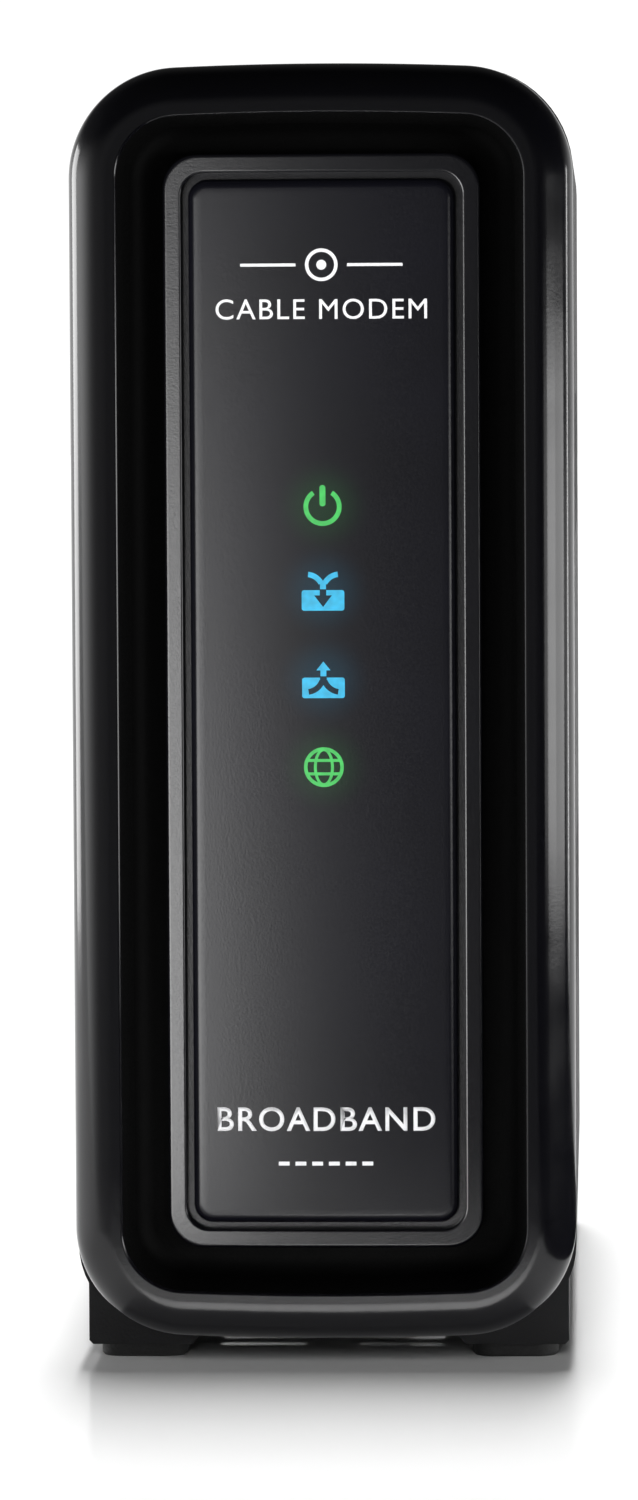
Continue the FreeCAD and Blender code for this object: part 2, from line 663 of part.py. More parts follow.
def heat_sink():
    """Base plate with upright fins, so that air rises between them, and notches for two pins."""
    lift = CHIP_THICKNESS + THERMAL_PAD_THICKNESS
    base = on_board(CHIP_Y, CHIP_Z, SINK_SIZE, SINK_SIZE, SINK_BASE, lift)
    fins = []
    count = 9
    pitch = (SINK_SIZE - 1.4) / (count - 1)
    for i in range(count):
        y = CHIP_Y - SINK_SIZE / 2 + 0.7 + i * pitch
        fins.append(on_board(y, CHIP_Z, 1.4, SINK_SIZE, SINK_FIN_HEIGHT + 0.5, lift + SINK_BASE - 0.5))
    sink = fuse([base] + fins)
    x0 = BOARD_FACE_X - lift - SINK_BASE
    for y, z in SINK_PINS:
        clear = box(x0 - SINK_FIN_HEIGHT - 1, x0, y - 4.6, y + 4.6, z - 4.6, z + 4.6)
        sink = sink.cut(clear).cut(rod_x(x0 - 1, BOARD_FACE_X, y, z, 1.7))
    return sink


def heat_sink_pins():
    """Spring push pins: head, shank through the base plate and barb behind it."""
    lift = CHIP_THICKNESS + THERMAL_PAD_THICKNESS
    x0 = BOARD_FACE_X - lift - SINK_BASE
    pins = []
    for y, z in SINK_PINS:
        head = rod_x(x0 - 6.0, x0 - 4.8, y, z, 2.9)
        spring_seat = rod_x(x0 - 4.8, x0 - 0.1, y, z, 1.9)
        shank = rod_x(x0 - 5.0, BOARD_FACE_X, y, z, 1.3)
        pins.append(fuse([head, spring_seat, shank]))
    return Part.makeCompound(pins)


def tuner_shield():
    """Soldered fence of thin sheet with inner walls, and the lid that snaps over it."""
    y, z, length, height, rise = 31.0, 60.0, 22.0, 26.0, 5.0
    fence = on_board(y, z, length, height, rise - 0.3)
    cells = []
    for dy, dz, ly, lz in ((-5.6, 0, 10.2, 25.4), (5.5, 6.6, 10.4, 12.2), (5.5, -6.6, 10.4, 12.2)):
        cells.append(on_board(y + dy, z + dz, ly, lz, rise + 1).translated(Vector(0.5, 0, 0)))
    fence = fence.cut(Part.makeCompound(cells))
    lid = on_board(y, z, length + 0.7, height + 0.7, rise).cut(on_board(y, z, length + 0.1, height + 0.1, rise - 0.3))
    lid = lid.cut(box(BOARD_FACE_X - 1.2, BOARD_FACE_X + 1, y - 20, y + 20, z - 20, z + 20))
    return fence, lid


def power_inductors():
    coils = []
    for y, z in ((2.0, 26.0), (-12.0, 26.0), (-26.0, 26.0)):
        base = on_board(y, z, 7.0, 7.0, 3.6)
        uprights = [e for e in base.Edges if abs(e.tangentAt(e.FirstParameter).x) > 0.99]
        coils.append(base.makeFillet(1.4, uprights))
    return Part.makeCompound(coils)


CAPACITORS = ((30.0, 46.0 - 8.5), (10.0, 38.0), (0.0, 38.0))


def filter_capacitors():
    """Aluminium cans on square plastic seats, each crimped near its base."""
    cans = []
    for y, z in CAPACITORS:
        seat = on_board(y, z, 6.8, 6.8, 1.0)
        low = rod_x(BOARD_FACE_X - 2.4, BOARD_FACE_X - 0.9, y, z, 3.15)
        neck = rod_x(BOARD_FACE_X - 3.0, BOARD_FACE_X - 2.3, y, z, 2.9)
        can = rod_x(BOARD_FACE_X - 8.2, BOARD_FACE_X - 2.9, y, z, 3.15)
        cans.append(fuse([seat, low, neck, can]))
    return Part.makeCompound(cans)


def small_passives():
    """Rows of chip resistors and capacitors round the larger parts."""
    chips = []
    rows = [
        (-38.0, 46.0, 0, 3.2, 10),
        (-44.0, 46.0, 0, 3.2, 10),
        (-30.0, 96.0, 3.0, 0, 5),
        (-12.0, 88.0 + 5.5, 3.4, 0, 6),
        (-34.0, 34.0, 4.2, 0, 8),
        (22.0, 80.0, 2.8, 0, 6),
        (22.0, 84.0, 2.8, 0, 6),
        (-36.0, 109.0, 4.0, 0, 9),
    ]
    for y, z, step_y, step_z, count in rows:
        for i in range(count):
            chips.append(on_board(y + i * step_y, z + i * step_z, 1.6, 0.9, 0.55))
    return Part.makeCompound(chips)


def board_screws():
    screws = []
    for y, z in BOARD_SCREWS:
        head = rod_x(BOARD_FACE_X - 1.9, BOARD_FACE_X, y, z, 2.7)
        rim = [e for e in head.Edges if e.BoundBox.XMax < BOARD_FACE_X - 1.8]
        head = head.makeFillet(0.8, rim)
        shank = rod_x(BOARD_FACE_X - 0.5, 17.0, y, z, 1.25)
        slots = [box(4.0, BOARD_FACE_X - 0.9, y - a, y + a, z - b, z + b) for a, b in ((1.5, 0.3), (0.3, 1.5))]
        screws.append(head.fuse(shank).cut(Part.makeCompound(slots)))
    return Part.makeCompound(screws)


def case_screws():
    screws = []
    for z in CASE_SCREW_ZS:
        head = rod_x(-5.2, -3.0, CASE_SCREW_Y, z, 2.7)
        shank = rod_x(-3.5, 12.0, CASE_SCREW_Y, z, 1.3)
        y = CASE_SCREW_Y
        slots = [box(-6.0, -4.0, y - a, y + a, z - b, z + b) for a, b in ((1.5, 0.3), (0.3, 1.5))]
        screws.append(head.fuse(shank).cut(Part.makeCompound(slots)))
    return Part.makeCompound(screws)


# ---------------------------------------------------------------- Ethernet socket

JACK_FACE_Y = BAY_FACE_Y + 0.3
JACK_BACK_Y = JACK_FACE_Y - 21.3
JACK_LOW_X = ETHERNET_X - 6.7
JACK_SHEET = 0.3
PLUG_DEPTH = 14.0
PLUG_LOW_X = -3.9
PLUG_HIGH_X = 2.9


def ethernet_shield():
    """Folded sheet-metal can, open at the mouth and towards the board."""
    z0 = ETHERNET_Z - 7.95
    z1 = ETHERNET_Z + 7.95
    s = JACK_SHEET
    outside = box(JACK_LOW_X, BOARD_FACE_X, JACK_BACK_Y, JACK_FACE_Y, z0, z1)
    inside = box(JACK_LOW_X + s, BOARD_FACE_X + 1, JACK_BACK_Y + s, JACK_FACE_Y + 1, z0 + s, z1 - s)
    return outside.cut(inside)


def ethernet_body():
    """Moulded body with the plug's mouth, the latch step and a comb for the contacts."""
    s = JACK_SHEET + 0.02
    z = ETHERNET_Z
    body = box(JACK_LOW_X + s, BOARD_FACE_X, JACK_BACK_Y + s, JACK_FACE_Y - 0.1, z - 7.95 + s, z + 7.95 - s)
    mouth_y = JACK_FACE_Y - PLUG_DEPTH
    mouth = box(PLUG_LOW_X, PLUG_HIGH_X, mouth_y, JACK_FACE_Y + 1, z - 5.95, z + 5.95)
    latch = box(PLUG_HIGH_X - 0.5, PLUG_HIGH_X + 1.6, mouth_y + 4, JACK_FACE_Y + 1, z - 3.1, z + 3.1)
    tab = box(PLUG_HIGH_X + 1.0, PLUG_HIGH_X + 3.0, mouth_y + 6, JACK_FACE_Y + 1, z - 1.7, z + 1.7)
    comb = box(PLUG_LOW_X - 1.2, PLUG_LOW_X + 1.4, mouth_y - 1.5, JACK_FACE_Y - 2.2, z - 4.3, z + 4.3)
    windows = [box(JACK_LOW_X, JACK_LOW_X + 2.1, JACK_FACE_Y - 3, JACK_FACE_Y + 1, z + a, z + b) for a, b in LAMP_ZS]
    return body.cut(Part.makeCompound([mouth, latch, tab, comb] + windows))


LAMP_ZS = ((-6.9, -3.9), (3.9, 6.9))


def ethernet_lamps():
    """Link and activity lamps in the outer corners of the mouth."""
    x0 = JACK_LOW_X + JACK_SHEET + 0.03
    lamps = []
    for a, b in LAMP_ZS:
        z0 = ETHERNET_Z + a
        lamps.append(box(x0, JACK_LOW_X + 2.1, JACK_FACE_Y - 2.9, JACK_FACE_Y - 0.05, z0 + 0.02, z0 + b - a - 0.02))
    return Part.makeCompound(lamps)


def ethernet_contacts():
    """Eight sprung gold wires that lean from the comb into the plug's space."""
    wires = []
    root = (PLUG_LOW_X - 0.9, JACK_FACE_Y - 3.0)
    knee = (PLUG_LOW_X + 1.7, JACK_FACE_Y - PLUG_DEPTH + 1.0)
    tail = (PLUG_LOW_X - 0.9, JACK_FACE_Y - PLUG_DEPTH - 1.2)
    t = 0.4
    for i in range(8):
        z = ETHERNET_Z + (i - 3.5) * 1.02
        points = [
            (root[0], root[1]),
            (root[0] + t, root[1]),
            (knee[0] + t, knee[1]),
            (tail[0] + t, tail[1]),
            (tail[0], tail[1]),
            (knee[0] - 0.1, knee[1] + 0.3),
        ]
        wire = Part.makePolygon([Vector(x, y, z - 0.2) for x, y in points + points[:1]])
        wires.append(Part.Face(wire).extrude(Vector(0, 0, 0.4)))
    return Part.makeCompound(wires)


# ---------------------------------------------------------------- coaxial socket

COAX_TIP_Y = DEPTH / 2
COAX_NUT_Y = BAY_FACE_Y + 0.6
COAX_NUT_THICKNESS = 2.3
COAX_THREAD_START = COAX_NUT_Y + COAX_NUT_THICKNESS + 0.4


def coax_barrel():
    """Die-cast base on the board and the threaded barrel that goes out through the rear wall."""
    base = box(-6.0, BOARD_FACE_X, 45.2, BAY_INSIDE_Y - 0.2, COAX_Z - 6.0, COAX_Z + 6.0)
    neck = rod_y(BAY_INSIDE_Y - 1, COAX_THREAD_START, 0, COAX_Z, COAX_NECK_RADIUS)
    thread = rod_y(COAX_THREAD_START, COAX_TIP_Y, 0, COAX_Z, COAX_THREAD_RADIUS)
    tip = [e for e in thread.Edges if e.BoundBox.YMin > COAX_TIP_Y - 0.01]
    thread = thread.makeChamfer(0.4, tip)
    bore = rod_y(46.5, COAX_TIP_Y + 1, 0, COAX_Z, 3.3)
    return fuse([base, neck, thread]).cut(bore)


def coax_insulator():
    body = rod_y(47.0, COAX_TIP_Y - 0.6, 0, COAX_Z, 3.28)
    socket = rod_y(49.0, COAX_TIP_Y - 1.8, 0, COAX_Z, 1.0)
    entry = rod_y(COAX_TIP_Y - 2.5, COAX_TIP_Y, 0, COAX_Z, 0.6)
    return body.cut(socket).cut(entry)


def coax_contact():
    """Split tube that grips the cable's centre wire."""
    tube = rod_y(49.2, COAX_TIP_Y - 2.0, 0, COAX_Z, 0.95).cut(rod_y(52.0, COAX_TIP_Y, 0, COAX_Z, 0.58))
    slit = box(-0.12, 0.12, 58.0, COAX_TIP_Y, COAX_Z - 2, COAX_Z + 2)
    return tube.cut(slit)


def hexagon(y0, y1, across_flats, x, z):
    radius = across_flats / math.sqrt(3)
    turns = [math.radians(60 * i + 30) for i in range(7)]
    wire = Part.makePolygon([Vector(x + radius * math.cos(a), y0, z + radius * math.sin(a)) for a in turns])
    return Part.Face(wire).extrude(Vector(0, y1 - y0, 0))


def coax_nut():
    nut = hexagon(COAX_NUT_Y, COAX_NUT_Y + COAX_NUT_THICKNESS, 12.7, 0, COAX_Z)
    cone = Part.makeCone(
        7.9, 6.0, 1.9, Vector(0, COAX_NUT_Y + COAX_NUT_THICKNESS - 1.5, COAX_Z), Vector(0, 1, 0)
    )
    flank = rod_y(COAX_NUT_Y, COAX_NUT_Y + COAX_NUT_THICKNESS - 1.5, 0, COAX_Z, 7.9)
    nut = nut.common(flank.fuse(cone))
    return nut.cut(rod_y(COAX_NUT_Y - 1, COAX_NUT_Y + 5, 0, COAX_Z, COAX_NECK_RADIUS + 0.06))


def coax_washer():
    ring = rod_y(BAY_FACE_Y, COAX_NUT_Y, 0, COAX_Z, 7.0)
    return ring.cut(rod_y(BAY_FACE_Y - 1, COAX_NUT_Y + 1, 0, COAX_Z, COAX_THREAD_RADIUS + 0.1))


# ---------------------------------------------------------------- power socket

POWER_FACE_Y = BAY_FACE_Y + 0.3
POWER_FLOOR_Y = POWER_FACE_Y - 9.5
POWER_ROOT_Y = 41.5
POWER_ROOT_RADIUS = 1.25


def power_socket():
    body = box(POWER_X - 5.5, BOARD_FACE_X, 40.3, POWER_FACE_Y, POWER_Z - 4.5, POWER_Z + 4.5)
    bore = rod_y(POWER_FLOOR_Y, POWER_FACE_Y + 1, POWER_X, POWER_Z, POWER_BORE_RADIUS)
    pin_seat = rod_y(POWER_ROOT_Y, POWER_FACE_Y, POWER_X, POWER_Z, POWER_ROOT_RADIUS)
    blade = box(POWER_X - 1.2, POWER_X + 1.2, 42.0, 53.0, POWER_Z - 3.75, POWER_Z - 2.3)
    mouth = [e for e in body.Edges if e.BoundBox.YMin > POWER_FACE_Y - 0.01]
    body = body.makeChamfer(0.4, mouth)
    return body.cut(bore).cut(pin_seat).cut(blade)


def power_pin():
    """Centre pin: a thick root held in the body and a free stretch that the plug slides over."""
    pin = rod_y(POWER_FLOOR_Y - 0.5, POWER_FACE_Y - 0.7, POWER_X, POWER_Z, POWER_PIN_RADIUS)
    tip = [e for e in pin.Edges if e.BoundBox.YMin > POWER_FACE_Y - 0.71]
    root = rod_y(POWER_ROOT_Y, POWER_FLOOR_Y, POWER_X, POWER_Z, POWER_ROOT_RADIUS)
    return pin.makeFillet(0.5, tip).fuse(root)


def power_contact():
    """Leaf spring that presses on the sleeve of the plug."""
    return box(POWER_X - 1.0, POWER_X + 1.0, 42.2, 52.5, POWER_Z - 3.75, POWER_Z - 3.35)


# ---------------------------------------------------------------- reset switch

SWITCH_FRONT_Y = 47.6
SWITCH_BACK_Y = 42.0


def reset_switch():
    body = box(RESET_X - 3.5, BOARD_FACE_X, SWITCH_BACK_Y, SWITCH_FRONT_Y, RESET_Z - 3.5, RESET_Z + 3.5)
    chamber = rod_y(SWITCH_BACK_Y + 1, SWITCH_FRONT_Y - 0.8, RESET_X, RESET_Z, 2.7)
    neck = rod_y(SWITCH_BACK_Y + 2, SWITCH_FRONT_Y + 1, RESET_X, RESET_Z, 1.78)
    return body.cut(chamber).cut(neck)


def reset_button():
    """Plunger that stands out of the switch, behind the pinhole, held in by its flange."""
    stem = rod_y(44.6, BAY_INSIDE_Y - 1.7, RESET_X, RESET_Z, 1.7)
    flange = rod_y(44.6, SWITCH_FRONT_Y - 0.9, RESET_X, RESET_Z, 2.5)
    tip = [e for e in stem.Edges if e.BoundBox.YMin > BAY_INSIDE_Y - 1.71]
    return stem.makeFillet(0.4, tip).fuse(flange)


def reset_dome():
    """Snap dome on the floor of the switch; the plunger stops just above it."""
    floor = SWITCH_BACK_Y + 1
    dome = rod_y(floor, floor + 0.25, RESET_X, RESET_Z, 2.4)
    crown = rod_y(floor + 0.2, floor + 0.9, RESET_X, RESET_Z, 1.4)
    rim = [e for e in crown.Edges if e.BoundBox.YMin > floor + 0.89]
    return dome.fuse(crown.makeFillet(0.5, rim))


# ---------------------------------------------------------------- feet and label


def foot_pad(x_side, y0):
    """Rubber pad under one foot block."""
    x0 = FOOT_INSIDE + 0.7
    x1 = FOOT_OUTSIDE - 1.1
    pad = box(x0, x1, y0 + 1.4, y0 + FOOT_LENGTH - 1.4, 0, PAD_HEIGHT)
    upright = [e for e in pad.Edges if abs(e.tangentAt(e.FirstParameter).z) > 0.99]
    pad = pad.makeFillet(2.2, upright)
    rim = [e for e in pad.Edges if e.BoundBox.ZMax < 0.01]
    pad = pad.makeChamfer(0.25, rim)
    return pad if x_side > 0 else mirrored(pad)


def rating_label():
    return box(-12.2, -1.6, 5.2, 48.8, LABEL_TOP - LABEL_THICKNESS, LABEL_TOP)


# ---------------------------------------------------------------- write every node

save("front_bezel", front_bezel())
left_half, right_half = casing_halves()
save("left_casing", left_half)
save("right_casing", right_half)
save("panel_frame", panel_frame())
face_panel, lit_symbols = symbols_and_panel()
save("face_panel", face_panel)
for symbol_name, inlay in lit_symbols.items():
    save(symbol_name, inlay)
save("light_guide", light_guide())
save("light_shroud", light_shroud())
save("indicator_leds", indicator_leds())
save("main_board", main_board())
save("processor_chip", on_board(CHIP_Y, CHIP_Z, 23, 23, CHIP_THICKNESS))
save("thermal_pad", on_board(CHIP_Y, CHIP_Z, 21, 21, THERMAL_PAD_THICKNESS, CHIP_THICKNESS))
save("heat_sink", heat_sink())
save("heat_sink_pins", heat_sink_pins())
save("memory_chip", on_board(-4.0, 101.0, 13.5, 9.0, 1.1))
save("flash_chip", on_board(-42.0, 88.0, 8.0, 5.2, 1.75))
save("clock_crystal", on_board(-40.0, 100.0, 5.0, 3.2, 1.0))
fence, lid = tuner_shield()
save("tuner_shield_fence", fence)
save("tuner_shield_lid", lid)
save("power_inductors", power_inductors())
save("filter_capacitors", filter_capacitors())
save("small_passives", small_passives())
save("ethernet_transformer", on_board(25.0, 98.0, 9.5, 14.0, 5.6))
save("ethernet_shield", ethernet_shield())
save("ethernet_body", ethernet_body())
save("ethernet_lamps", ethernet_lamps())
save("ethernet_contacts", ethernet_contacts())
save("coax_barrel", coax_barrel())
save("coax_insulator", coax_insulator())
save("coax_contact", coax_contact())
save("coax_nut", coax_nut())
save("coax_washer", coax_washer())
save("power_socket", power_socket())
save("power_pin", power_pin())
save("power_contact", power_contact())
save("reset_switch", reset_switch())
save("reset_button", reset_button())
save("reset_dome", reset_dome())
save("board_screws", board_screws())
save("case_screws", case_screws())
save("rating_label", rating_label())
for row, start in zip(("front", "rear"), FOOT_STARTS):
    for side_name, side_sign in (("left", -1), ("right", 1)):
        save(row + "_" + side_name + "_foot_pad", foot_pad(side_sign, start))
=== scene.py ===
"""An upright cable modem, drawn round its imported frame.

Lengths are in metres, +Z is up and the front looks along -Y.
"""

import math
import bmesh
import bpy
import mathutils.kdtree
from mathutils import Matrix, Vector


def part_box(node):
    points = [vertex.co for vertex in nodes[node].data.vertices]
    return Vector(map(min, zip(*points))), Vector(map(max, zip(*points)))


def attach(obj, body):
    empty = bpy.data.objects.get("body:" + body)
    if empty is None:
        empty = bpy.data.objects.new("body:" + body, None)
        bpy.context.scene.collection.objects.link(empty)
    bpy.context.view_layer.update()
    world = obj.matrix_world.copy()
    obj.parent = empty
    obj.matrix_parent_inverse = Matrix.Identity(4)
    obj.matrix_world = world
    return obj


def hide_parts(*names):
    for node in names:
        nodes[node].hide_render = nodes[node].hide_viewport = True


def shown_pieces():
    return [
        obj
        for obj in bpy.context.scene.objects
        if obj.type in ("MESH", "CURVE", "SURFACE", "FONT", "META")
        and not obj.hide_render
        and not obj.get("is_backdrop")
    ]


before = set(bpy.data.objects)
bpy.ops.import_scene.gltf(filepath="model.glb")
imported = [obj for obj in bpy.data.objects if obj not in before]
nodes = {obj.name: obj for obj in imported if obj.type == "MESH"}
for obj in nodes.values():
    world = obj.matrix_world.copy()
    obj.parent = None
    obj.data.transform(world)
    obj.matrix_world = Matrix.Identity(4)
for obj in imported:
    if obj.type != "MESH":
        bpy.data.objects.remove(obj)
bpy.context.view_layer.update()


# ---- Casing halves ---------------------------------------------------------------------------
# Two clamshell halves moulded in charcoal ABS, with a fine spark-eroded texture on the outside.
# They meet along the middle of the modem, where a lip keys one into the other, and the four foot
# blocks are moulded on. Two screws in deep counterbores on the left pull them together.

MM = 0.001


def plain_finish(name, colour, roughness, metallic=0.0):
    """A new material with one colour and gloss, for the functions below to add detail to."""
    material = bpy.data.materials.new(name)
    material.use_nodes = True
    shader = material.node_tree.nodes["Principled BSDF"]
    shader.inputs["Base Color"].default_value = (*colour, 1)
    shader.inputs["Roughness"].default_value = roughness
    shader.inputs["Metallic"].default_value = metallic
    return material


def add_node(material, kind, inputs=(), **settings):
    """Adds a node; inputs gives each socket's name or number a value or another node's output."""
    tree = material.node_tree
    node = tree.nodes.new(kind)
    for key, value in settings.items():
        setattr(node, key, value)
    for key, value in dict(inputs).items():
        if isinstance(value, bpy.types.NodeSocket):
            tree.links.new(value, node.inputs[key])
        else:
            node.inputs[key].default_value = value
    return node


def grain(material, size, stretch=(1, 1, 1), detail=3.0):
    """Output of a noise whose grains are size metres across, stretched along the piece's axes."""
    place = add_node(material, "ShaderNodeTexCoord")
    scale = tuple(1 / share for share in stretch)
    turned = add_node(
        material, "ShaderNodeMapping", {"Vector": place.outputs["Object"], "Scale": scale}
    )
    noise = add_node(
        material, "ShaderNodeTexNoise", {"Vector": turned.outputs[0], "Scale": 1 / size, "Detail": detail}
    )
    return noise.outputs["Fac"]


def spread(material, source, low, high):
    """Maps a noise output's useful middle range to low..high."""
    node = add_node(material, "ShaderNodeMapRange", {"Value": source})
    for key, value in (("From Min", 0.3), ("From Max", 0.7), ("To Min", low), ("To Max", high)):
        node.inputs[key].default_value = value
    return node.outputs["Result"]


def add_tones(material, source, dark, light):
    """Colour that wanders between two tones with a noise output."""
    ramp = add_node(material, "ShaderNodeValToRGB", {"Fac": source})
    ramp.color_ramp.elements[0].position = 0.3
    ramp.color_ramp.elements[0].color = (*dark, 1)
    ramp.color_ramp.elements[1].position = 0.7
    ramp.color_ramp.elements[1].color = (*light, 1)
    shader = material.node_tree.nodes["Principled BSDF"]
    material.node_tree.links.new(ramp.outputs["Color"], shader.inputs["Base Color"])


def add_gloss(material, source, low, high):
    """Roughness that wanders between two values with a noise output."""
    shader = material.node_tree.nodes["Principled BSDF"]
    material.node_tree.links.new(spread(material, source, low, high), shader.inputs["Roughness"])


def add_relief(material, *layers):
    """Bump from pairs of a height output and its height in metres, one on top of the other."""
    shader = material.node_tree.nodes["Principled BSDF"]
    below = None
    for source, height in layers:
        bump = add_node(material, "ShaderNodeBump", {"Height": source, "Distance": height})
        if below is not None:
            material.node_tree.links.new(below, bump.inputs["Normal"])
        below = bump.outputs["Normal"]
    material.node_tree.links.new(below, shader.inputs["Normal"])


def moulded(name, dark, light, gloss, texture, depth):
    """Moulded plastic: even colour with faint drift, and a fine eroded texture from the tool."""
    material = plain_finish(name, light, gloss[0])
    fine = grain(material, texture)
    drift = grain(material, 9 * MM, detail=2.0)
    add_tones(material, drift, dark, light)
    add_gloss(material, fine, *gloss)
    add_relief(material, (fine, depth))
    return material


def dull(material, level):
    """Weakens the mirror-like part of a plastic's shine, which is 0.5 when left alone."""
    shader = material.node_tree.nodes["Principled BSDF"]
    shader.inputs["Specular IOR Level"].default_value = level


def dress(node_name, material):
    """Gives a carried-over node its material."""
    node = nodes[node_name]
    node.data.materials.clear()
    node.data.materials.append(material)


charcoal_abs = moulded(
    "charcoal_abs", (0.009, 0.009, 0.010), (0.013, 0.013, 0.014), (0.42, 0.58), 0.32 * MM, 0.035 * MM
)
dull(charcoal_abs, 0.22)
for half_name in ("left_casing", "right_casing"):
    dress(half_name, charcoal_abs)


# ---- Front bezel -----------------------------------------------------------------------------
# One ring of polished black plastic with a wide rounded outer edge, a flat land and a steep inner
# wall that runs through a soft hollow into the floor of the moat. Its section is swept round the
# body's outline: straight sides, round corners and faintly crowned ends.

BEZEL_CORNER = 11.2 * MM
CROWN_RADIUS = 350 * MM
BEZEL_FILLET = 3.9 * MM
BEZEL_LAND = 5.0 * MM
LAND_MARGIN = 0.05 * MM
EDGE_BREAK = 0.25 * MM
MOAT_DEPTH = 7.6 * MM
MOAT_WALL_LEAN = 1.1 * MM
MOAT_FILLET = 1.8 * MM
MOAT_FLOOR = 1.6 * MM
MOAT_FLOOR_END = 10.6 * MM
BEZEL_SIDE = 7.0 * MM
SIDE_DRAFT = 0.12 * MM
SIDE_WALL = 1.95 * MM
FRONT_WALL = 2.6 * MM
INNER_WALL = 3.75 * MM
LONG_RUN = 0.5 * MM
SUPPORT_INSET = 0.06 * MM

bezel_low, bezel_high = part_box("front_bezel")
crest = bezel_low.y
half_width = bezel_high.x
half_height = (bezel_high.z - bezel_low.z) / 2
middle = (bezel_high.z + bezel_low.z) / 2


def arc(centre, radius, start, end, steps):
    """Points of an arc in a plane, angles in radians, both ends included."""
    turns = [start + (end - start) * i / steps for i in range(steps + 1)]
    return [(centre[0] + radius * math.cos(a), centre[1] + radius * math.sin(a)) for a in turns]


def body_outline():
    """The body's outline as (x, z) about its middle, anticlockwise as seen from the front."""
    across = half_width - BEZEL_CORNER
    up = half_height - CROWN_RADIUS + math.sqrt((CROWN_RADIUS - BEZEL_CORNER) ** 2 - across**2)
    lean = math.atan2(across, CROWN_RADIUS - half_height + up)
    corner = arc((across, up), BEZEL_CORNER, 0, math.pi / 2 - lean, 40)
    crown = arc((0, half_height - CROWN_RADIUS), CROWN_RADIUS, math.pi / 2 - lean, math.pi / 2, 20)
    quarter = corner + crown[1:]
    upper = quarter + [(-x, z) for x, z in reversed(quarter[:-1])]
    return upper + [(-x, -z) for x, z in upper]


def with_supports(points, closed=True):
    """Adds a point just inside both ends of each long run, so that flats stay flat when smoothed."""
    result = []
    pairs = list(zip(points, points[1:] + points[:1])) if closed else list(zip(points, points[1:]))
    for a, b in pairs:
        result.append(a)
        length = math.dist(a, b)
        if length > LONG_RUN:
            inset = min(SUPPORT_INSET / length, 0.1)
            for share in (inset, 1 - inset):
                result.append((a[0] + (b[0] - a[0]) * share, a[1] + (b[1] - a[1]) * share))
    return result if closed else result + [points[-1]]


def bezel_section():
    """The bezel's section as (inset from the outline, depth behind the crest)."""
    quarter = math.pi / 2
    lean = math.atan2(MOAT_WALL_LEAN, MOAT_DEPTH - EDGE_BREAK)
    reach = MOAT_FILLET * math.tan(math.pi / 4 - lean / 2)
    floor_start = BEZEL_LAND + MOAT_WALL_LEAN + reach
    points = [(SIDE_DRAFT, BEZEL_SIDE)]
    points += arc((BEZEL_FILLET, BEZEL_FILLET), BEZEL_FILLET, 2 * quarter, 3 * quarter, 18)
    points += arc((BEZEL_LAND - EDGE_BREAK, EDGE_BREAK), EDGE_BREAK, -quarter, -lean, 5)
    points += arc((floor_start, MOAT_DEPTH - MOAT_FILLET), MOAT_FILLET, math.pi - lean, quarter, 10)
    back = MOAT_DEPTH + MOAT_FLOOR
    points += [(MOAT_FLOOR_END, MOAT_DEPTH), (MOAT_FLOOR_END, back), (INNER_WALL, back)]
    points += [(INNER_WALL, FRONT_WALL), (SIDE_WALL, FRONT_WALL), (SIDE_WALL, BEZEL_SIDE)]
    return with_supports(points)


def guide_curve(name, points, closed=True):
    """A helper curve of straight runs through points, for a node tree to read."""
    data = bpy.data.curves.new(name, "CURVE")
    data.dimensions = "3D"
    spline = data.splines.new("POLY")
    spline.points.add(len(points) - 1)
    for point, place in zip(spline.points, points):
        point.co = (*place, 1)
    spline.use_cyclic_u = closed
    curve = bpy.data.objects.new(name, data)
    bpy.context.scene.collection.objects.link(curve)
    return curve


def new_tree(name, inputs):
    """A node tree with named inputs, each (name, socket kind, value); returns its main nodes."""
    tree = bpy.data.node_groups.new(name, "GeometryNodeTree")
    tree.interface.new_socket("Geometry", in_out="OUTPUT", socket_type="NodeSocketGeometry")
    for label, kind, value in inputs:
        socket = tree.interface.new_socket(label, in_out="INPUT", socket_type="NodeSocket" + kind)
        if value is not None:
            socket.default_value = value
    entry = tree.nodes.new("NodeGroupInput")

    def add(kind, inputs=(), **settings):
        """Adds a node to this tree, set and wired as add_node does for a material."""
        node = tree.nodes.new(kind)
        for key, value in settings.items():
            setattr(node, key, value)
        for key, value in dict(inputs).items():
            if isinstance(value, bpy.types.NodeSocket):
                tree.links.new(value, node.inputs[key])
            else:
                node.inputs[key].default_value = value
        return node

    def close(geometry, smooth=True):
        """Ends the tree: smooth shading, real geometry in place of instances, and the material."""
        smoothed = add("GeometryNodeSetShadeSmooth", {"Geometry": geometry, "Shade Smooth": smooth})
        real = add("GeometryNodeRealizeInstances", {"Geometry": smoothed.outputs[0]})
        painted = add(
            "GeometryNodeSetMaterial", {"Geometry": real.outputs[0], "Material": entry.outputs["Material"]}
        )
        out = tree.nodes.new("NodeGroupOutput")
        tree.links.new(painted.outputs[0], out.inputs[0])

    return tree, entry, add, close


def grow(name, tree, values):
    """Runs a tree on an empty mesh, keeps the result as a plain mesh object and returns it."""
    piece = bpy.data.objects.new(name, bpy.data.meshes.new(name + "_seed"))
    bpy.context.scene.collection.objects.link(piece)
    modifier = piece.modifiers.new("tree", "NODES")
    modifier.node_group = tree
    for item in tree.interface.items_tree:
        if item.in_out == "INPUT" and item.name in values:
            modifier[item.identifier] = values[item.name]
    evaluated = piece.evaluated_get(bpy.context.evaluated_depsgraph_get())
    mesh = bpy.data.meshes.new_from_object(evaluated)
    piece.modifiers.remove(modifier)
    piece.data = mesh
    mesh.name = name
    crease(mesh)
    return piece


def crease(mesh, angle=38):
    """Smooth shading everywhere but across edges sharper than angle degrees."""
    mesh.shade_smooth()
    mesh.set_sharp_from_angle(angle=math.radians(angle))


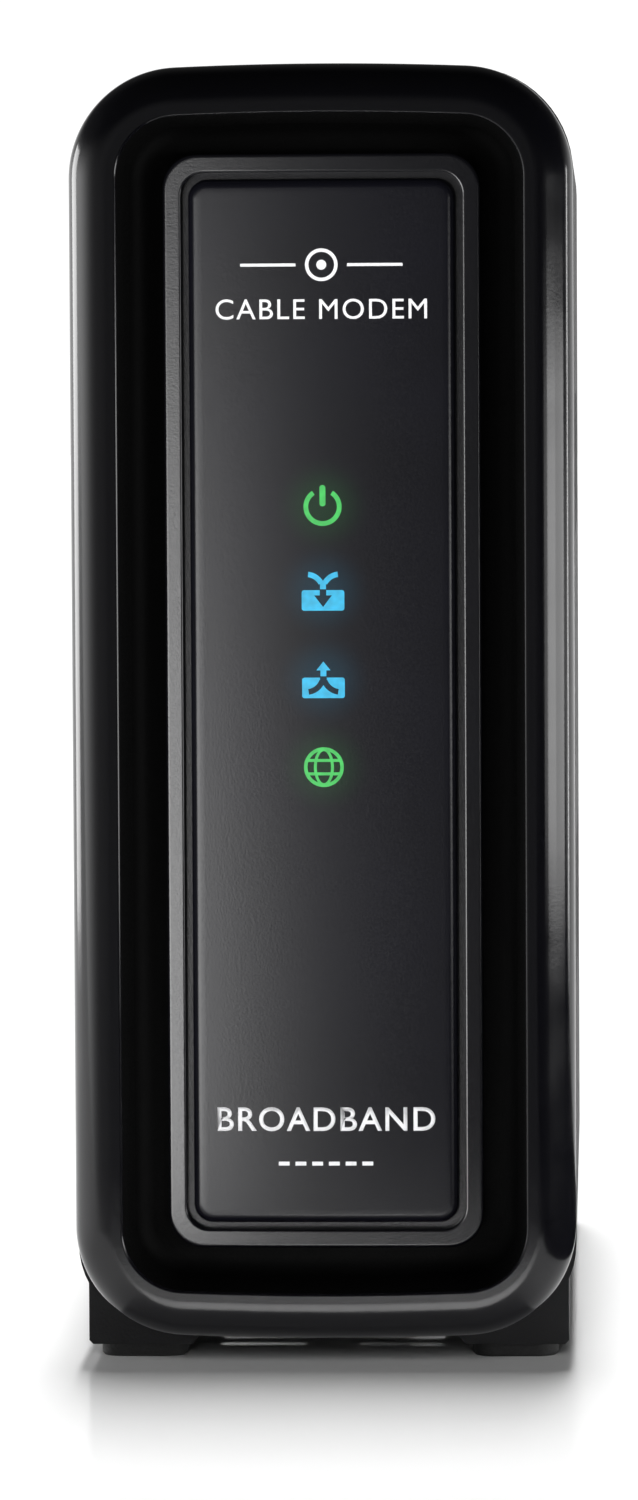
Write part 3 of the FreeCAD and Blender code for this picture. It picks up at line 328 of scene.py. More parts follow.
def swept_ring_tree():
    """Sweeps a section round a flat path; the section's first axis points towards Facing."""
    tree, entry, add, close = new_tree(
        "swept_ring",
        [
            ("Path", "Object", None),
            ("Section", "Object", None),
            ("Facing", "Vector", (0, -1, 0)),
            ("Material", "Material", None),
        ],
    )
    path = add("GeometryNodeObjectInfo", {"Object": entry.outputs["Path"]})
    section = add("GeometryNodeObjectInfo", {"Object": entry.outputs["Section"]})
    aimed = add(
        "GeometryNodeSetCurveNormal",
        {"Curve": path.outputs["Geometry"], "Normal": entry.outputs["Facing"]},
        mode="FREE",
    )
    swept = add(
        "GeometryNodeCurveToMesh",
        {"Curve": aimed.outputs[0], "Profile Curve": section.outputs["Geometry"]},
    )
    close(swept.outputs[0])
    return tree


def piano_black():
    """Polished black plastic: a faint waviness of the moulding and very slight haze."""
    material = plain_finish("piano_black", (0.006, 0.006, 0.008), 0.12)
    haze = grain(material, 5 * MM, detail=4.0)
    wave = grain(material, 14 * MM, detail=1.0)
    peel = grain(material, 0.35 * MM, detail=1.0)
    add_gloss(material, haze, 0.10, 0.15)
    add_relief(material, (wave, 0.010 * MM), (peel, 0.0018 * MM))
    return material


swept_ring = swept_ring_tree()
bezel_path = guide_curve("bezel_path", [(x, crest, middle + z) for x, z in body_outline()])
bezel_profile = guide_curve("bezel_profile", [(-depth, -inset, 0) for inset, depth in bezel_section()])
bezel = grow(
    "bezel_ring",
    swept_ring,
    {"Path": bezel_path, "Section": bezel_profile, "Material": piano_black()},
)
for helper in (bezel_path, bezel_profile):
    bpy.data.objects.remove(helper)
moat_matte = plain_finish("moat_matte", (0.003, 0.003, 0.003), 0.6)
dull(moat_matte, 0.15)
moat_grain = grain(moat_matte, 0.25 * MM)
add_gloss(moat_matte, moat_grain, 0.55, 0.7)
add_relief(moat_matte, (moat_grain, 0.02 * MM))
bezel.data.materials.append(moat_matte)


def rim_tree(parts=4):
    """A search tree of points along the outline, parts of them to each of its runs."""
    points = body_outline()
    rim = mathutils.kdtree.KDTree(len(points) * parts)
    for index, (a, b) in enumerate(zip(points, points[1:] + points[:1])):
        for part in range(parts):
            share = part / parts
            spot = (a[0] + (b[0] - a[0]) * share, 0, a[1] + (b[1] - a[1]) * share)
            rim.insert(spot, index * parts + part)
    rim.balance()
    return rim


# Only the land and the rounded edge are polished. All that lies further in is the matt moat.
rim = rim_tree()
for face in bezel.data.polygons:
    nearest = rim.find((face.center.x, 0, face.center.z - middle))[2]
    straight = half_width - abs(face.center.x)
    if min(nearest, straight) > BEZEL_LAND + LAND_MARGIN:
        face.material_index = 1
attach(bezel, "housing")
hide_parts("front_bezel")


# ---- Trim frame of the island ----------------------------------------------------------------
# A satin black frame that stands in the moat, pushed through the bezel's floor. Its front edges
# are broken, and a shelf inside it carries the face panel.

FRAME_CORNER = 3.5 * MM
FRAME_WIDTH = 1.85 * MM
FRAME_EDGE = 0.35 * MM
FRAME_INNER_EDGE = 0.2 * MM
FRAME_SHELF = 6.5 * MM
FRAME_SHELF_END = 4.6 * MM
FRAME_BACK = 9.2 * MM
FRAME_BACK_INSET = 1.6 * MM
ISLAND_CROWN = 260 * MM

frame_low, frame_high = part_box("panel_frame")
frame_front = frame_low.y - crest
frame_half = Vector((frame_high.x, (frame_high.z - frame_low.z) / 2))


def rounded_rectangle(half_x, half_z, corner, steps=14, side=40):
    """Points of a rounded rectangle, anticlockwise from its right side, as (x, z).

    Each corner has steps runs, and the level sides have side runs so that they can be crowned.
    """
    points = []
    for turn, (sx, sz) in enumerate(((1, 1), (-1, 1), (-1, -1), (1, -1))):
        centre = (sx * (half_x - corner), sz * (half_z - corner))
        points += arc(centre, corner, turn * math.pi / 2, (turn + 1) * math.pi / 2, steps)
        if turn % 2 == 0:
            a = points[-1]
            b = (-a[0], a[1])
            points += [(a[0] + (b[0] - a[0]) * i / side, a[1]) for i in range(1, side)]
    return points


def crown(x):
    """How far the island's crowned front falls back at x."""
    return ISLAND_CROWN - math.sqrt(ISLAND_CROWN**2 - x**2)


def island_loop(inset, depth):
    """One loop of the island's outline, moved in by inset, at a depth behind the bezel's crest."""
    corner = max(FRAME_CORNER - 0.6 * inset, 0.8 * MM)
    flat = rounded_rectangle(frame_half.x - inset, frame_half.y - inset, corner)
    fall = 1 if depth < FRAME_SHELF - 0.1 * MM else 0
    return [(x, crest + depth + fall * crown(x), middle + z) for x, z in flat]


def tidy_mesh(mesh):
    """Merges doubles and turns every face outwards."""
    work = bmesh.new()
    work.from_mesh(mesh)
    bmesh.ops.remove_doubles(work, verts=work.verts, dist=1e-7)
    bmesh.ops.dissolve_degenerate(work, edges=work.edges, dist=1e-8)
    bmesh.ops.recalc_face_normals(work, faces=work.faces)
    work.to_mesh(mesh)
    work.free()


def skin(name, loops, material, capped=False):
    """An object over loops of points, each joined to the next.

    The last loop is joined to the first, or with capped the first and last stay ends.
    """
    count = len(loops[0])
    vertices = [point for loop in loops for point in loop]
    faces = []
    rows = len(loops) if not capped else len(loops) - 1
    for row in range(rows):
        after = (row + 1) % len(loops)
        for i in range(count):
            j = (i + 1) % count
            faces.append((row * count + i, row * count + j, after * count + j, after * count + i))
    mesh = bpy.data.meshes.new(name)
    mesh.from_pydata(vertices, [], faces)
    mesh.materials.append(material)
    tidy_mesh(mesh)
    crease(mesh)
    piece = bpy.data.objects.new(name, mesh)
    bpy.context.scene.collection.objects.link(piece)
    return piece


def frame_section():
    """The frame's section as (inset, depth), closed."""
    quarter = math.pi / 2
    inner = FRAME_INNER_EDGE
    points = [(0, MOAT_DEPTH), (0, FRAME_SHELF - 0.05 * MM)]
    points += arc((FRAME_EDGE, frame_front + FRAME_EDGE), FRAME_EDGE, 2 * quarter, 3 * quarter, 6)
    points += arc((FRAME_WIDTH - inner, frame_front + inner), inner, 3 * quarter, 4 * quarter, 4)
    points += [(FRAME_WIDTH, FRAME_SHELF), (FRAME_SHELF_END, FRAME_SHELF), (FRAME_SHELF_END, FRAME_BACK)]
    points += [(FRAME_BACK_INSET, FRAME_BACK), (FRAME_BACK_INSET, MOAT_DEPTH)]
    return with_supports(points)


def satin_black(name, dark, light, gloss):
    """Satin moulded plastic with a fine sparkle in its texture."""
    material = plain_finish(name, light, gloss[0])
    fine = grain(material, 0.22 * MM, detail=2.0)
    drift = grain(material, 12 * MM, detail=2.0)
    add_tones(material, drift, dark, light)
    add_gloss(material, fine, *gloss)
    add_relief(material, (fine, 0.006 * MM))
    return material


trim_satin = satin_black("trim_satin", (0.004, 0.004, 0.005), (0.005, 0.005, 0.007), (0.19, 0.24))
trim_frame = skin("trim_frame", [island_loop(*p) for p in frame_section()], trim_satin)
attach(trim_frame, "housing")
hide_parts("panel_frame")


# ---- Face panel ------------------------------------------------------------------------------
# A satin panel lying on the frame's shelf, with a groove all round it. Its front is crowned
# across its width, and its edges are well rounded.

PANEL_INSET = 2.55 * MM
PANEL_CORNER = 1.97 * MM
PANEL_EDGE = 0.95 * MM
INLAY_STAND = 0.02 * MM

panel_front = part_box("face_panel")[0].y - crest + INLAY_STAND


def panel_depth(x):
    """Depth of the crowned front behind the crest, at x."""
    return panel_front + crown(x)


def panel_loops():
    """Loops from the back edge round the rounded edge and over the crowned front to its middle."""
    half_x = frame_half.x - PANEL_INSET
    half_z = frame_half.y - PANEL_INSET
    loops = []

    def loop(inset, below):
        """The panel's outline moved in by inset, at below behind its crowned front."""
        corner = max(PANEL_CORNER - inset, 0.3 * MM)
        shape = rounded_rectangle(half_x - inset, half_z - inset, corner)
        return [(x, crest + panel_depth(x) + below, middle + z) for x, z in shape]

    back = crest + FRAME_SHELF
    outer = rounded_rectangle(half_x, half_z, PANEL_CORNER)
    loops.append([(0.5 * x, back, middle + 0.9 * z) for x, z in outer])
    loops.append([(x, back, middle + z) for x, z in outer])
    for step in range(13):
        a = math.pi / 2 * step / 12
        loops.append(loop(PANEL_EDGE * (1 - math.cos(a)), PANEL_EDGE * (1 - math.sin(a))))
    edge = loops[-1]
    spine = half_z - half_x
    for step in range(1, 25):
        share = step / 24
        ring = []
        for x, _, z in edge:
            centre_z = max(-spine, min(spine, z - middle))
            px = x * (1 - share)
            pz = z + (centre_z - (z - middle)) * share
            ring.append((px, crest + panel_depth(px), pz))
        loops.append(ring)
    return loops


panel_satin = satin_black("panel_satin", (0.004, 0.004, 0.006), (0.005, 0.005, 0.008), (0.22, 0.27))
dull(panel_satin, 0.3)
panel = skin("face_plate", panel_loops(), panel_satin, capped=True)
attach(panel, "housing")
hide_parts("face_panel")


# ---- Lit symbols -----------------------------------------------------------------------------
# Four translucent inlays set into the panel, for power, receive, send and online. LEDs behind
# them light two green and two blue.

# Reach and strength of the glow painted as emission on the panel round each symbol.
PAINTED_GLOW_REACH = 5.5 * MM
PAINTED_GLOW_STRENGTH = 0.045
LIT_STRENGTH = 0.85
GREEN = (0.045, 0.58, 0.10)
BLUE = (0.02, 0.50, 0.82)
SYMBOL_COLOURS = (
    ("power_symbol", GREEN),
    ("receive_symbol", BLUE),
    ("send_symbol", BLUE),
    ("online_symbol", GREEN),
)


def lit_inlay(name, colour, strength):
    """Translucent plastic lit from behind, its glow wandering a little with a fine noise."""
    material = plain_finish(name, tuple(0.12 * part for part in colour), 0.4)
    glow = grain(material, 0.9 * MM, detail=1.0)
    shader = material.node_tree.nodes["Principled BSDF"]
    shader.inputs["Emission Color"].default_value = (*colour, 1)
    material.node_tree.links.new(
        spread(material, glow, 0.8 * strength, 1.15 * strength), shader.inputs["Emission Strength"]
    )
    return material


def add_painted_glow(material, symbols, strength):
    """Painted glow: emission painted on the panel's surface round each lit symbol, fading with distance, in
    place of LED light spreading through the plastic.
    """
    place = add_node(material, "ShaderNodeTexCoord")
    total = None
    for symbol_name, colour in symbols:
        low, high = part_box(symbol_name)
        centre = (0, (low.y + high.y) / 2, (low.z + high.z) / 2)
        away = add_node(
            material, "ShaderNodeVectorMath", {0: place.outputs["Object"], 1: centre}, operation="DISTANCE"
        )
        near = add_node(
            material,
            "ShaderNodeMapRange",
            {"Value": away.outputs["Value"], "From Min": PAINTED_GLOW_REACH, "From Max": 0.0, "To Max": strength},
            interpolation_type="SMOOTHERSTEP",
        )
        tint = add_node(
            material,
            "ShaderNodeVectorMath",
            {0: colour, "Scale": near.outputs["Result"]},
            operation="SCALE",
        )
        if total is None:
            total = tint.outputs[0]
        else:
            total = add_node(material, "ShaderNodeVectorMath", {0: total, 1: tint.outputs[0]}).outputs[0]
    shader = material.node_tree.nodes["Principled BSDF"]
    material.node_tree.links.new(total, shader.inputs["Emission Color"])
    shader.inputs["Emission Strength"].default_value = 1.0


lit_plastics = {
    GREEN: lit_inlay("lit_green", GREEN, LIT_STRENGTH),
    BLUE: lit_inlay("lit_blue", BLUE, LIT_STRENGTH),
}
# Paints a faint emissive glow on the panel round each symbol, standing in for leaking LED light.
add_painted_glow(panel_satin, SYMBOL_COLOURS, PAINTED_GLOW_STRENGTH)
for symbol, colour in SYMBOL_COLOURS:
    dress(symbol, lit_plastics[colour])


# ---- Printed marks ---------------------------------------------------------------------------
# White pad print on the panel: a ring-and-dot emblem like a coaxial socket between two rules,
# two plain words under it, and one more word and a row of ticks near the foot of the panel.

INK_THICKNESS = 0.012 * MM
CAPITALS_SHARE = 0.72
EMBLEM_Z = 111.8 * MM
RING_OUTER = 1.65 * MM
RING_INNER = 1.3 * MM
DOT_RADIUS = 0.5 * MM
RULE_START = 2.6 * MM
RULE_END = 8.2 * MM
RULE_HALF_HEIGHT = 0.15 * MM
UPPER_WORDS_Z = 107.4 * MM
UPPER_WORDS_HEIGHT = 2.1 * MM
LOWER_WORD_Z = 25.3 * MM
LOWER_WORD_HEIGHT = 2.45 * MM
LOWER_WORD_WEIGHT = 0.04 * MM
TICK_COUNT = 6
TICK_PITCH = 1.7 * MM
TICK_HALF_WIDTH = 0.55 * MM
TICK_LOW = 20.5 * MM
TICK_HIGH = 20.9 * MM


def lay_on_panel(mesh):
    """Bends a flat mesh, drawn in X and Z, onto the crowned panel and gives it the ink's thickness."""
    work = bmesh.new()
    work.from_mesh(mesh)
    bmesh.ops.remove_doubles(work, verts=work.verts, dist=1e-7)
    for vertex in work.verts:
        vertex.co.y = crest + panel_depth(vertex.co.x) - INK_THICKNESS
    grown = bmesh.ops.extrude_face_region(work, geom=work.faces[:])
    for item in grown["geom"]:
        if isinstance(item, bmesh.types.BMVert):
            item.co.y += 2 * INK_THICKNESS
    bmesh.ops.recalc_face_normals(work, faces=work.faces)
    work.to_mesh(mesh)
    work.free()


def printed_word(name, text, size, centre_z, spacing=1.0, weight=0.0):
    """Plain capitals centred on the panel, size high, as a flat print."""
    data = bpy.data.curves.new(name, "FONT")
    data.body = text
    data.align_x = "CENTER"
    data.size = size / CAPITALS_SHARE
    data.space_character = spacing
    data.offset = weight
    data.resolution_u = 6
    words = bpy.data.objects.new(name, data)
    bpy.context.scene.collection.objects.link(words)
    evaluated = words.evaluated_get(bpy.context.evaluated_depsgraph_get())
    mesh = bpy.data.meshes.new_from_object(evaluated)
    bpy.data.objects.remove(words)
    mesh.transform(Matrix.Rotation(math.pi / 2, 4, "X"))
    mesh.transform(Matrix.Translation((0, 0, centre_z - size / 2)))
    return mesh


def flat_shapes(name, loops):
    """Flat filled faces in X and Z; a loop pair (outer, inner) makes a ring."""
    work = bmesh.new()
    for outer, inner in loops:
        outside = [work.verts.new((x, 0, z)) for x, z in outer]
        if inner is None:
            work.faces.new(outside)
            continue
        inside = [work.verts.new((x, 0, z)) for x, z in inner]
        for i in range(len(outer)):
            j = (i + 1) % len(outer)
            work.faces.new((outside[i], outside[j], inside[j], inside[i]))
    mesh = bpy.data.meshes.new(name)
    work.to_mesh(mesh)
    work.free()
    return mesh


def circle(x, z, radius, count=48):
    """Outline of a disc, anticlockwise from its right."""
    return arc((x, z), radius, 0, 2 * math.pi * (count - 1) / count, count - 1)


def bar(x0, x1, z0, z1, steps=12):
    """Outline of a level bar, with points along it so that it can follow the crown."""
    lower = [(x0 + (x1 - x0) * i / steps, z0) for i in range(steps + 1)]
    return lower + [(x, z1) for x, _ in reversed(lower)]


def pad_print_ink():
    """Off-white pad print, slightly rough, with the thin spots of a real print."""
    material = plain_finish("white_ink", (0.90, 0.90, 0.91), 0.5)
    blots = grain(material, 0.4 * MM, detail=4.0)
    add_tones(material, blots, (0.84, 0.84, 0.86), (0.93, 0.93, 0.94))
    add_gloss(material, blots, 0.4, 0.6)
    return material


emblem_shapes = [
    (circle(0, EMBLEM_Z, RING_OUTER), circle(0, EMBLEM_Z, RING_INNER)),
    (circle(0, EMBLEM_Z, DOT_RADIUS), None),
]
for side in (-1, 1):
    ends = sorted((side * RULE_START, side * RULE_END))
    rule = bar(*ends, EMBLEM_Z - RULE_HALF_HEIGHT, EMBLEM_Z + RULE_HALF_HEIGHT)
    emblem_shapes.append((rule, None))
tick_shapes = []
for index in range(TICK_COUNT):
    tick_x = (index - (TICK_COUNT - 1) / 2) * TICK_PITCH
    tick = bar(tick_x - TICK_HALF_WIDTH, tick_x + TICK_HALF_WIDTH, TICK_LOW, TICK_HIGH, 2)
    tick_shapes.append((tick, None))
upper_words = printed_word(
    "upper_word_print", "CABLE MODEM", UPPER_WORDS_HEIGHT, UPPER_WORDS_Z, spacing=1.12
)
lower_word = printed_word(
    "lower_word_print",
    "BROADBAND",
    LOWER_WORD_HEIGHT,
    LOWER_WORD_Z,
    spacing=1.11,
    weight=LOWER_WORD_WEIGHT,
)
white_ink = pad_print_ink()
print_pieces = []
for print_name, print_mesh in (
    ("emblem_print", flat_shapes("emblem_print", emblem_shapes)),
    ("upper_word_print", upper_words),
    ("lower_word_print", lower_word),
    ("tick_print", flat_shapes("tick_print", tick_shapes)),
):
    lay_on_panel(print_mesh)
    print_mesh.materials.clear()
    print_mesh.materials.append(white_ink)
    print_piece = bpy.data.objects.new(print_name, print_mesh)
    bpy.context.scene.collection.objects.link(print_piece)
    print_pieces.append(print_piece)
    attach(print_piece, "housing")


# ---- Light guide, shroud and LEDs ------------------------------------------------------------
# One clear acrylic moulding with four prisms carries light from the LEDs on the board's edge to
# the symbols. A black baffle round it keeps each colour in its own window.

clear_acrylic = plain_finish("clear_acrylic", (0.86, 0.90, 0.90), 0.06)
clear_shader = clear_acrylic.node_tree.nodes["Principled BSDF"]
clear_shader.inputs["Transmission Weight"].default_value = 0.9
clear_shader.inputs["IOR"].default_value = 1.49
add_gloss(clear_acrylic, grain(clear_acrylic, 2 * MM), 0.04, 0.12)
dress("light_guide", clear_acrylic)
baffle_black = moulded(
    "baffle_black", (0.012, 0.012, 0.012), (0.018, 0.018, 0.018), (0.6, 0.75), 0.3 * MM, 0.02 * MM
)
dress("light_shroud", baffle_black)
led_body = moulded("led_body", (0.70, 0.70, 0.66), (0.78, 0.78, 0.73), (0.3, 0.45), 0.2 * MM, 0.005 * MM)
dress("indicator_leds", led_body)


# ---- Main board and its parts ----------------------------------------------------------------
# A green four-layer board stands upright on the right casing half, held by four screws. Black
# epoxy chips, ferrite inductors, sleeved capacitors and small ceramic parts are soldered to it.


def board_finish():
    """Green solder mask over copper tracks, a little proud and lighter where the copper runs."""
    material = plain_finish("solder_mask", (0.012, 0.085, 0.030), 0.3)
    place = add_node(material, "ShaderNodeTexCoord")
    turned = add_node(
        material, "ShaderNodeMapping", {"Vector": place.outputs["Object"], "Rotation": (0, math.pi / 2, 0)}
    )
    tracks = add_node(
        material,
        "ShaderNodeTexBrick",
        {"Vector": turned.outputs[0], "Scale": 1 / (6 * MM), "Mortar Size": 0.03, "Row Height": 0.12},
        offset=0.37,
    )
    add_tones(material, tracks.outputs["Fac"], (0.010, 0.075, 0.026), (0.022, 0.130, 0.045))
    add_gloss(material, grain(material, 3 * MM), 0.24, 0.38)
    add_relief(material, (tracks.outputs["Fac"], 0.03 * MM))
    return material


def bare_metal(name, dark, light, gloss, stretch, depth=0.006 * MM):
    """Metal with fine drawn or brushed lines along one axis and a slow change of tone."""
    material = plain_finish(name, light, gloss[0], 1.0)
    lines = grain(material, 0.25 * MM, stretch)
    add_tones(material, grain(material, 6 * MM), dark, light)
    add_gloss(material, lines, *gloss)
    add_relief(material, (lines, depth))
    return material


dress("main_board", board_finish())
chip_epoxy = moulded(
    "chip_epoxy", (0.014, 0.014, 0.015), (0.022, 0.022, 0.023), (0.5, 0.65), 0.12 * MM, 0.01 * MM
)
for chip in ("processor_chip", "memory_chip", "flash_chip", "ethernet_transformer"):
    dress(chip, chip_epoxy)
thermal_rubber = moulded(
    "thermal_rubber", (0.30, 0.33, 0.36), (0.38, 0.41, 0.44), (0.7, 0.85), 0.4 * MM, 0.02 * MM
)
dress("thermal_pad", thermal_rubber)
milled_aluminium = bare_metal(
    "milled_aluminium", (0.55, 0.56, 0.57), (0.68, 0.69, 0.70), (0.28, 0.42), (1, 12, 1)
)
dress("heat_sink", milled_aluminium)
zinc_steel = bare_metal("zinc_steel", (0.24, 0.24, 0.25), (0.34, 0.34, 0.35), (0.26, 0.38), (1, 1, 1))
for fastener in ("heat_sink_pins", "board_screws", "case_screws"):
    dress(fastener, zinc_steel)
tinned_steel = bare_metal("tinned_steel", (0.60, 0.60, 0.58), (0.72, 0.72, 0.70), (0.20, 0.34), (1, 1, 9))
for can in ("tuner_shield_fence", "tuner_shield_lid", "clock_crystal", "reset_dome"):
    dress(can, tinned_steel)
ferrite = moulded(
    "ferrite", (0.035, 0.034, 0.034), (0.060, 0.058, 0.056), (0.55, 0.7), 0.25 * MM, 0.03 * MM
)
dress("power_inductors", ferrite)
capacitor_can = bare_metal("capacitor_can", (0.58, 0.59, 0.60), (0.74, 0.75, 0.76), (0.18, 0.3), (8, 1, 1))
dress("filter_capacitors", capacitor_can)
ceramic_tan = moulded(
    "ceramic_tan", (0.38, 0.27, 0.17), (0.50, 0.36, 0.23), (0.35, 0.5), 0.2 * MM, 0.006 * MM
)
dress("small_passives", ceramic_tan)


# ---- Ethernet socket -------------------------------------------------------------------------
# A stamped, plated shield folded round a black body, with two amber lamps in its face and eight
# sprung gold wires that lean out of a comb into the plug's space.

plated_shield = bare_metal(
    "plated_shield", (0.60, 0.60, 0.58), (0.75, 0.75, 0.72), (0.16, 0.28), (1, 10, 1)
)
dress("ethernet_shield", plated_shield)
jack_nylon = moulded(
    "jack_nylon", (0.012, 0.012, 0.013), (0.020, 0.020, 0.021), (0.38, 0.52), 0.2 * MM, 0.012 * MM
)
dress("ethernet_body", jack_nylon)
amber_lens = moulded("amber_lens", (0.55, 0.22, 0.02), (0.68, 0.30, 0.04), (0.2, 0.3), 0.5 * MM, 0.004 * MM)
amber_lens.node_tree.nodes["Principled BSDF"].inputs["Transmission Weight"].default_value = 0.35
dress("ethernet_lamps", amber_lens)
gold_plate = bare_metal(
    "gold_plate", (0.72, 0.48, 0.16), (0.86, 0.60, 0.24), (0.14, 0.24), (1, 6, 1), 0.002 * MM
)

SPRING_PITCH = 1.02 * MM
SPRING_RADIUS = 0.2 * MM
SPRING_BEND = 0.4 * MM
SPRING_KNEE = 2.3 * MM


def sprung_wires_tree():
    """A row of round wires: the path is swept once and set out Count times, Pitch apart in Z."""
    tree, entry, add, close = new_tree(
        "sprung_wires",
        [
            ("Path", "Object", None),
            ("Count", "Int", 8),
            ("Pitch", "Float", SPRING_PITCH),
            ("Radius", "Float", SPRING_RADIUS),
            ("Material", "Material", None),
        ],
    )
    path = add("GeometryNodeObjectInfo", {"Object": entry.outputs["Path"]})
    bent = add(
        "GeometryNodeFilletCurve", {"Curve": path.outputs["Geometry"], "Radius": SPRING_BEND}, mode="POLY"
    )
    bent.inputs["Count"].default_value = 5
    section = add("GeometryNodeCurvePrimitiveCircle", {"Resolution": 12, "Radius": entry.outputs["Radius"]})
    wire = add(
        "GeometryNodeCurveToMesh",
        {"Curve": bent.outputs[0], "Profile Curve": section.outputs[0], "Fill Caps": True},
    )
    step = add("ShaderNodeCombineXYZ", {"Z": entry.outputs["Pitch"]})
    row = add(
        "GeometryNodeMeshLine", {"Count": entry.outputs["Count"], "Offset": step.outputs[0]}, mode="OFFSET"
    )
    placed = add("GeometryNodeInstanceOnPoints", {"Points": row.outputs[0], "Instance": wire.outputs[0]})
    close(placed.outputs[0])
    return tree


wire_low, wire_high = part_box("ethernet_contacts")
wire_z = wire_low.z + SPRING_RADIUS
root_x = wire_low.x + SPRING_RADIUS
knee_x = wire_high.x - SPRING_RADIUS
wire_path = guide_curve(
    "wire_path",
    [
        (root_x, wire_high.y, wire_z),
        (root_x + 0.1 * MM, wire_high.y - 0.3 * MM, wire_z),
        (knee_x, wire_low.y + SPRING_KNEE, wire_z),
        (root_x, wire_low.y, wire_z),
    ],
    closed=False,
)
contact_wires = grow("contact_wires", sprung_wires_tree(), {"Path": wire_path, "Material": gold_plate})
bpy.data.objects.remove(wire_path)
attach(contact_wires, "housing")
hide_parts("ethernet_contacts")


# ---- Coaxial socket --------------------------------------------------------------------------
# A nickel-plated barrel with a square base on the board. Its fine thread comes out through the
# rear wall, where a nut and a washer clamp it. White plastic holds the gold contact in its bore.

nickel_plate = bare_metal(
    "nickel_plate", (0.56, 0.54, 0.50), (0.70, 0.68, 0.63), (0.12, 0.22), (1, 1, 1), 0.003 * MM
)
COAX_THREAD_PITCH = 0.794 * MM
COAX_MAJOR = 4.76 * MM
COAX_RIDGE = 0.24 * MM
COAX_NECK = 4.2 * MM
COAX_BORE = 3.3 * MM
COAX_THREAD_LENGTH = 8.2 * MM
COAX_CORE = COAX_MAJOR - 0.42 * MM
COAX_CHAMFER = 0.35 * MM
COAX_SLEEVE_START = 3 * MM
COAX_BASE_DEPTH = 7.1 * MM
COAX_BASE_EDGE = 0.3 * MM
THREAD_RUN_OUT = 0.5 * MM

barrel_low, barrel_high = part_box("coax_barrel")
coax_z = (barrel_high.z + barrel_low.z) / 2
coax_tip = barrel_high.y


def threaded_ridge_tree():
    """A round ridge wound along +Z from the origin: Radius, Length, Turns and Wire set its shape."""
    tree, entry, add, close = new_tree(
        "threaded_ridge",
        [
            ("Radius", "Float", COAX_MAJOR - COAX_RIDGE),
            ("Length", "Float", COAX_THREAD_LENGTH),
            ("Turns", "Float", 10.0),
            ("Wire", "Float", COAX_RIDGE),
            ("Material", "Material", None),
        ],
    )
    spiral = add(
        "GeometryNodeCurveSpiral",
        {
            "Resolution": 48,
            "Rotations": entry.outputs["Turns"],
            "Start Radius": entry.outputs["Radius"],
            "End Radius": entry.outputs["Radius"],
            "Height": entry.outputs["Length"],
        },
    )
    section = add("GeometryNodeCurvePrimitiveCircle", {"Resolution": 10, "Radius": entry.outputs["Wire"]})
    ridge = add(
        "GeometryNodeCurveToMesh",
        {"Curve": spiral.outputs[0], "Profile Curve": section.outputs[0], "Fill Caps": True},
    )
    close(ridge.outputs[0])
    return tree


def circle_path(name, radius, y, z, count=64):
    """A closed circle about the coaxial axis, anticlockwise as seen from the front."""
    turns = [2 * math.pi * i / count for i in range(count)]
    return guide_curve(name, [(radius * math.cos(a), y, z + radius * math.sin(a)) for a in turns])


def join(name, pieces):
    """One object with the meshes of all pieces, which are then removed."""
    work = bmesh.new()
    for piece in pieces:
        work.from_mesh(piece.data)
    mesh = bpy.data.meshes.new(name)
    work.to_mesh(mesh)
    work.free()
    mesh.materials.append(pieces[0].data.materials[0])
    crease(mesh)
    for piece in pieces:
        bpy.data.objects.remove(piece)
    whole = bpy.data.objects.new(name, mesh)
    bpy.context.scene.collection.objects.link(whole)
    return whole


ridge_turns = (COAX_THREAD_LENGTH - 2 * COAX_RIDGE - THREAD_RUN_OUT) / COAX_THREAD_PITCH
ridge = grow(
    "coax_ridge",
    threaded_ridge_tree(),
    {"Length": ridge_turns * COAX_THREAD_PITCH, "Turns": ridge_turns, "Material": nickel_plate},
)
thread_start = coax_tip - COAX_THREAD_LENGTH
upright_to_rear = Matrix.Rotation(-math.pi / 2, 4, "X")
ridge.data.transform(Matrix.Translation((0, thread_start + COAX_RIDGE, coax_z)) @ upright_to_rear)
sleeve_start = barrel_low.y + COAX_SLEEVE_START
sleeve = [
    (COAX_BORE, coax_tip),
    (COAX_CORE - COAX_CHAMFER, coax_tip),
    (COAX_CORE, coax_tip - COAX_CHAMFER),
    (COAX_CORE, thread_start),
    (COAX_NECK, thread_start - 0.2 * MM),
    (COAX_NECK, sleeve_start),
    (COAX_BORE, sleeve_start),
]
barrel_path = circle_path("barrel_path", COAX_BORE, 0, coax_z)
barrel_profile = guide_curve("barrel_profile", [(-y, r - COAX_BORE, 0) for r, y in with_supports(sleeve)])
barrel_sleeve = grow(
    "barrel_sleeve",
    swept_ring,
    {"Path": barrel_path, "Section": barrel_profile, "Material": nickel_plate},
)
for helper in (barrel_path, barrel_profile):
    bpy.data.objects.remove(helper)


def block(name, low, high, material, edge):
    """A box from low to high with rounded edges."""
    work = bmesh.new()
    bmesh.ops.create_cube(work, size=1)
    for vertex in work.verts:
        vertex.co = Vector([low[i] if vertex.co[i] < 0 else high[i] for i in range(3)])
    bmesh.ops.bevel(work, geom=work.edges[:], offset=edge, segments=3, affect="EDGES", profile=0.5)
    mesh = bpy.data.meshes.new(name)
    work.to_mesh(mesh)
    work.free()
    mesh.materials.append(material)
    crease(mesh)
    piece = bpy.data.objects.new(name, mesh)
    bpy.context.scene.collection.objects.link(piece)
    return piece


coax_base = block(
    "coax_base",
    barrel_low,
    (barrel_high.x, barrel_low.y + COAX_BASE_DEPTH, barrel_high.z),
    nickel_plate,
    COAX_BASE_EDGE,
)
coax_barrel = join("threaded_barrel", [barrel_sleeve, ridge, coax_base])
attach(coax_barrel, "housing")
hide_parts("coax_barrel")
for coax_part in ("coax_nut", "coax_washer", "power_pin"):
    dress(coax_part, nickel_plate)
for contact in ("coax_contact", "power_contact"):
    dress(contact, gold_plate)
white_insulator = moulded(
    "white_insulator", (0.70, 0.70, 0.68), (0.78, 0.78, 0.76), (0.35, 0.5), 0.4 * MM, 0.01 * MM
)
dress("coax_insulator", white_insulator)


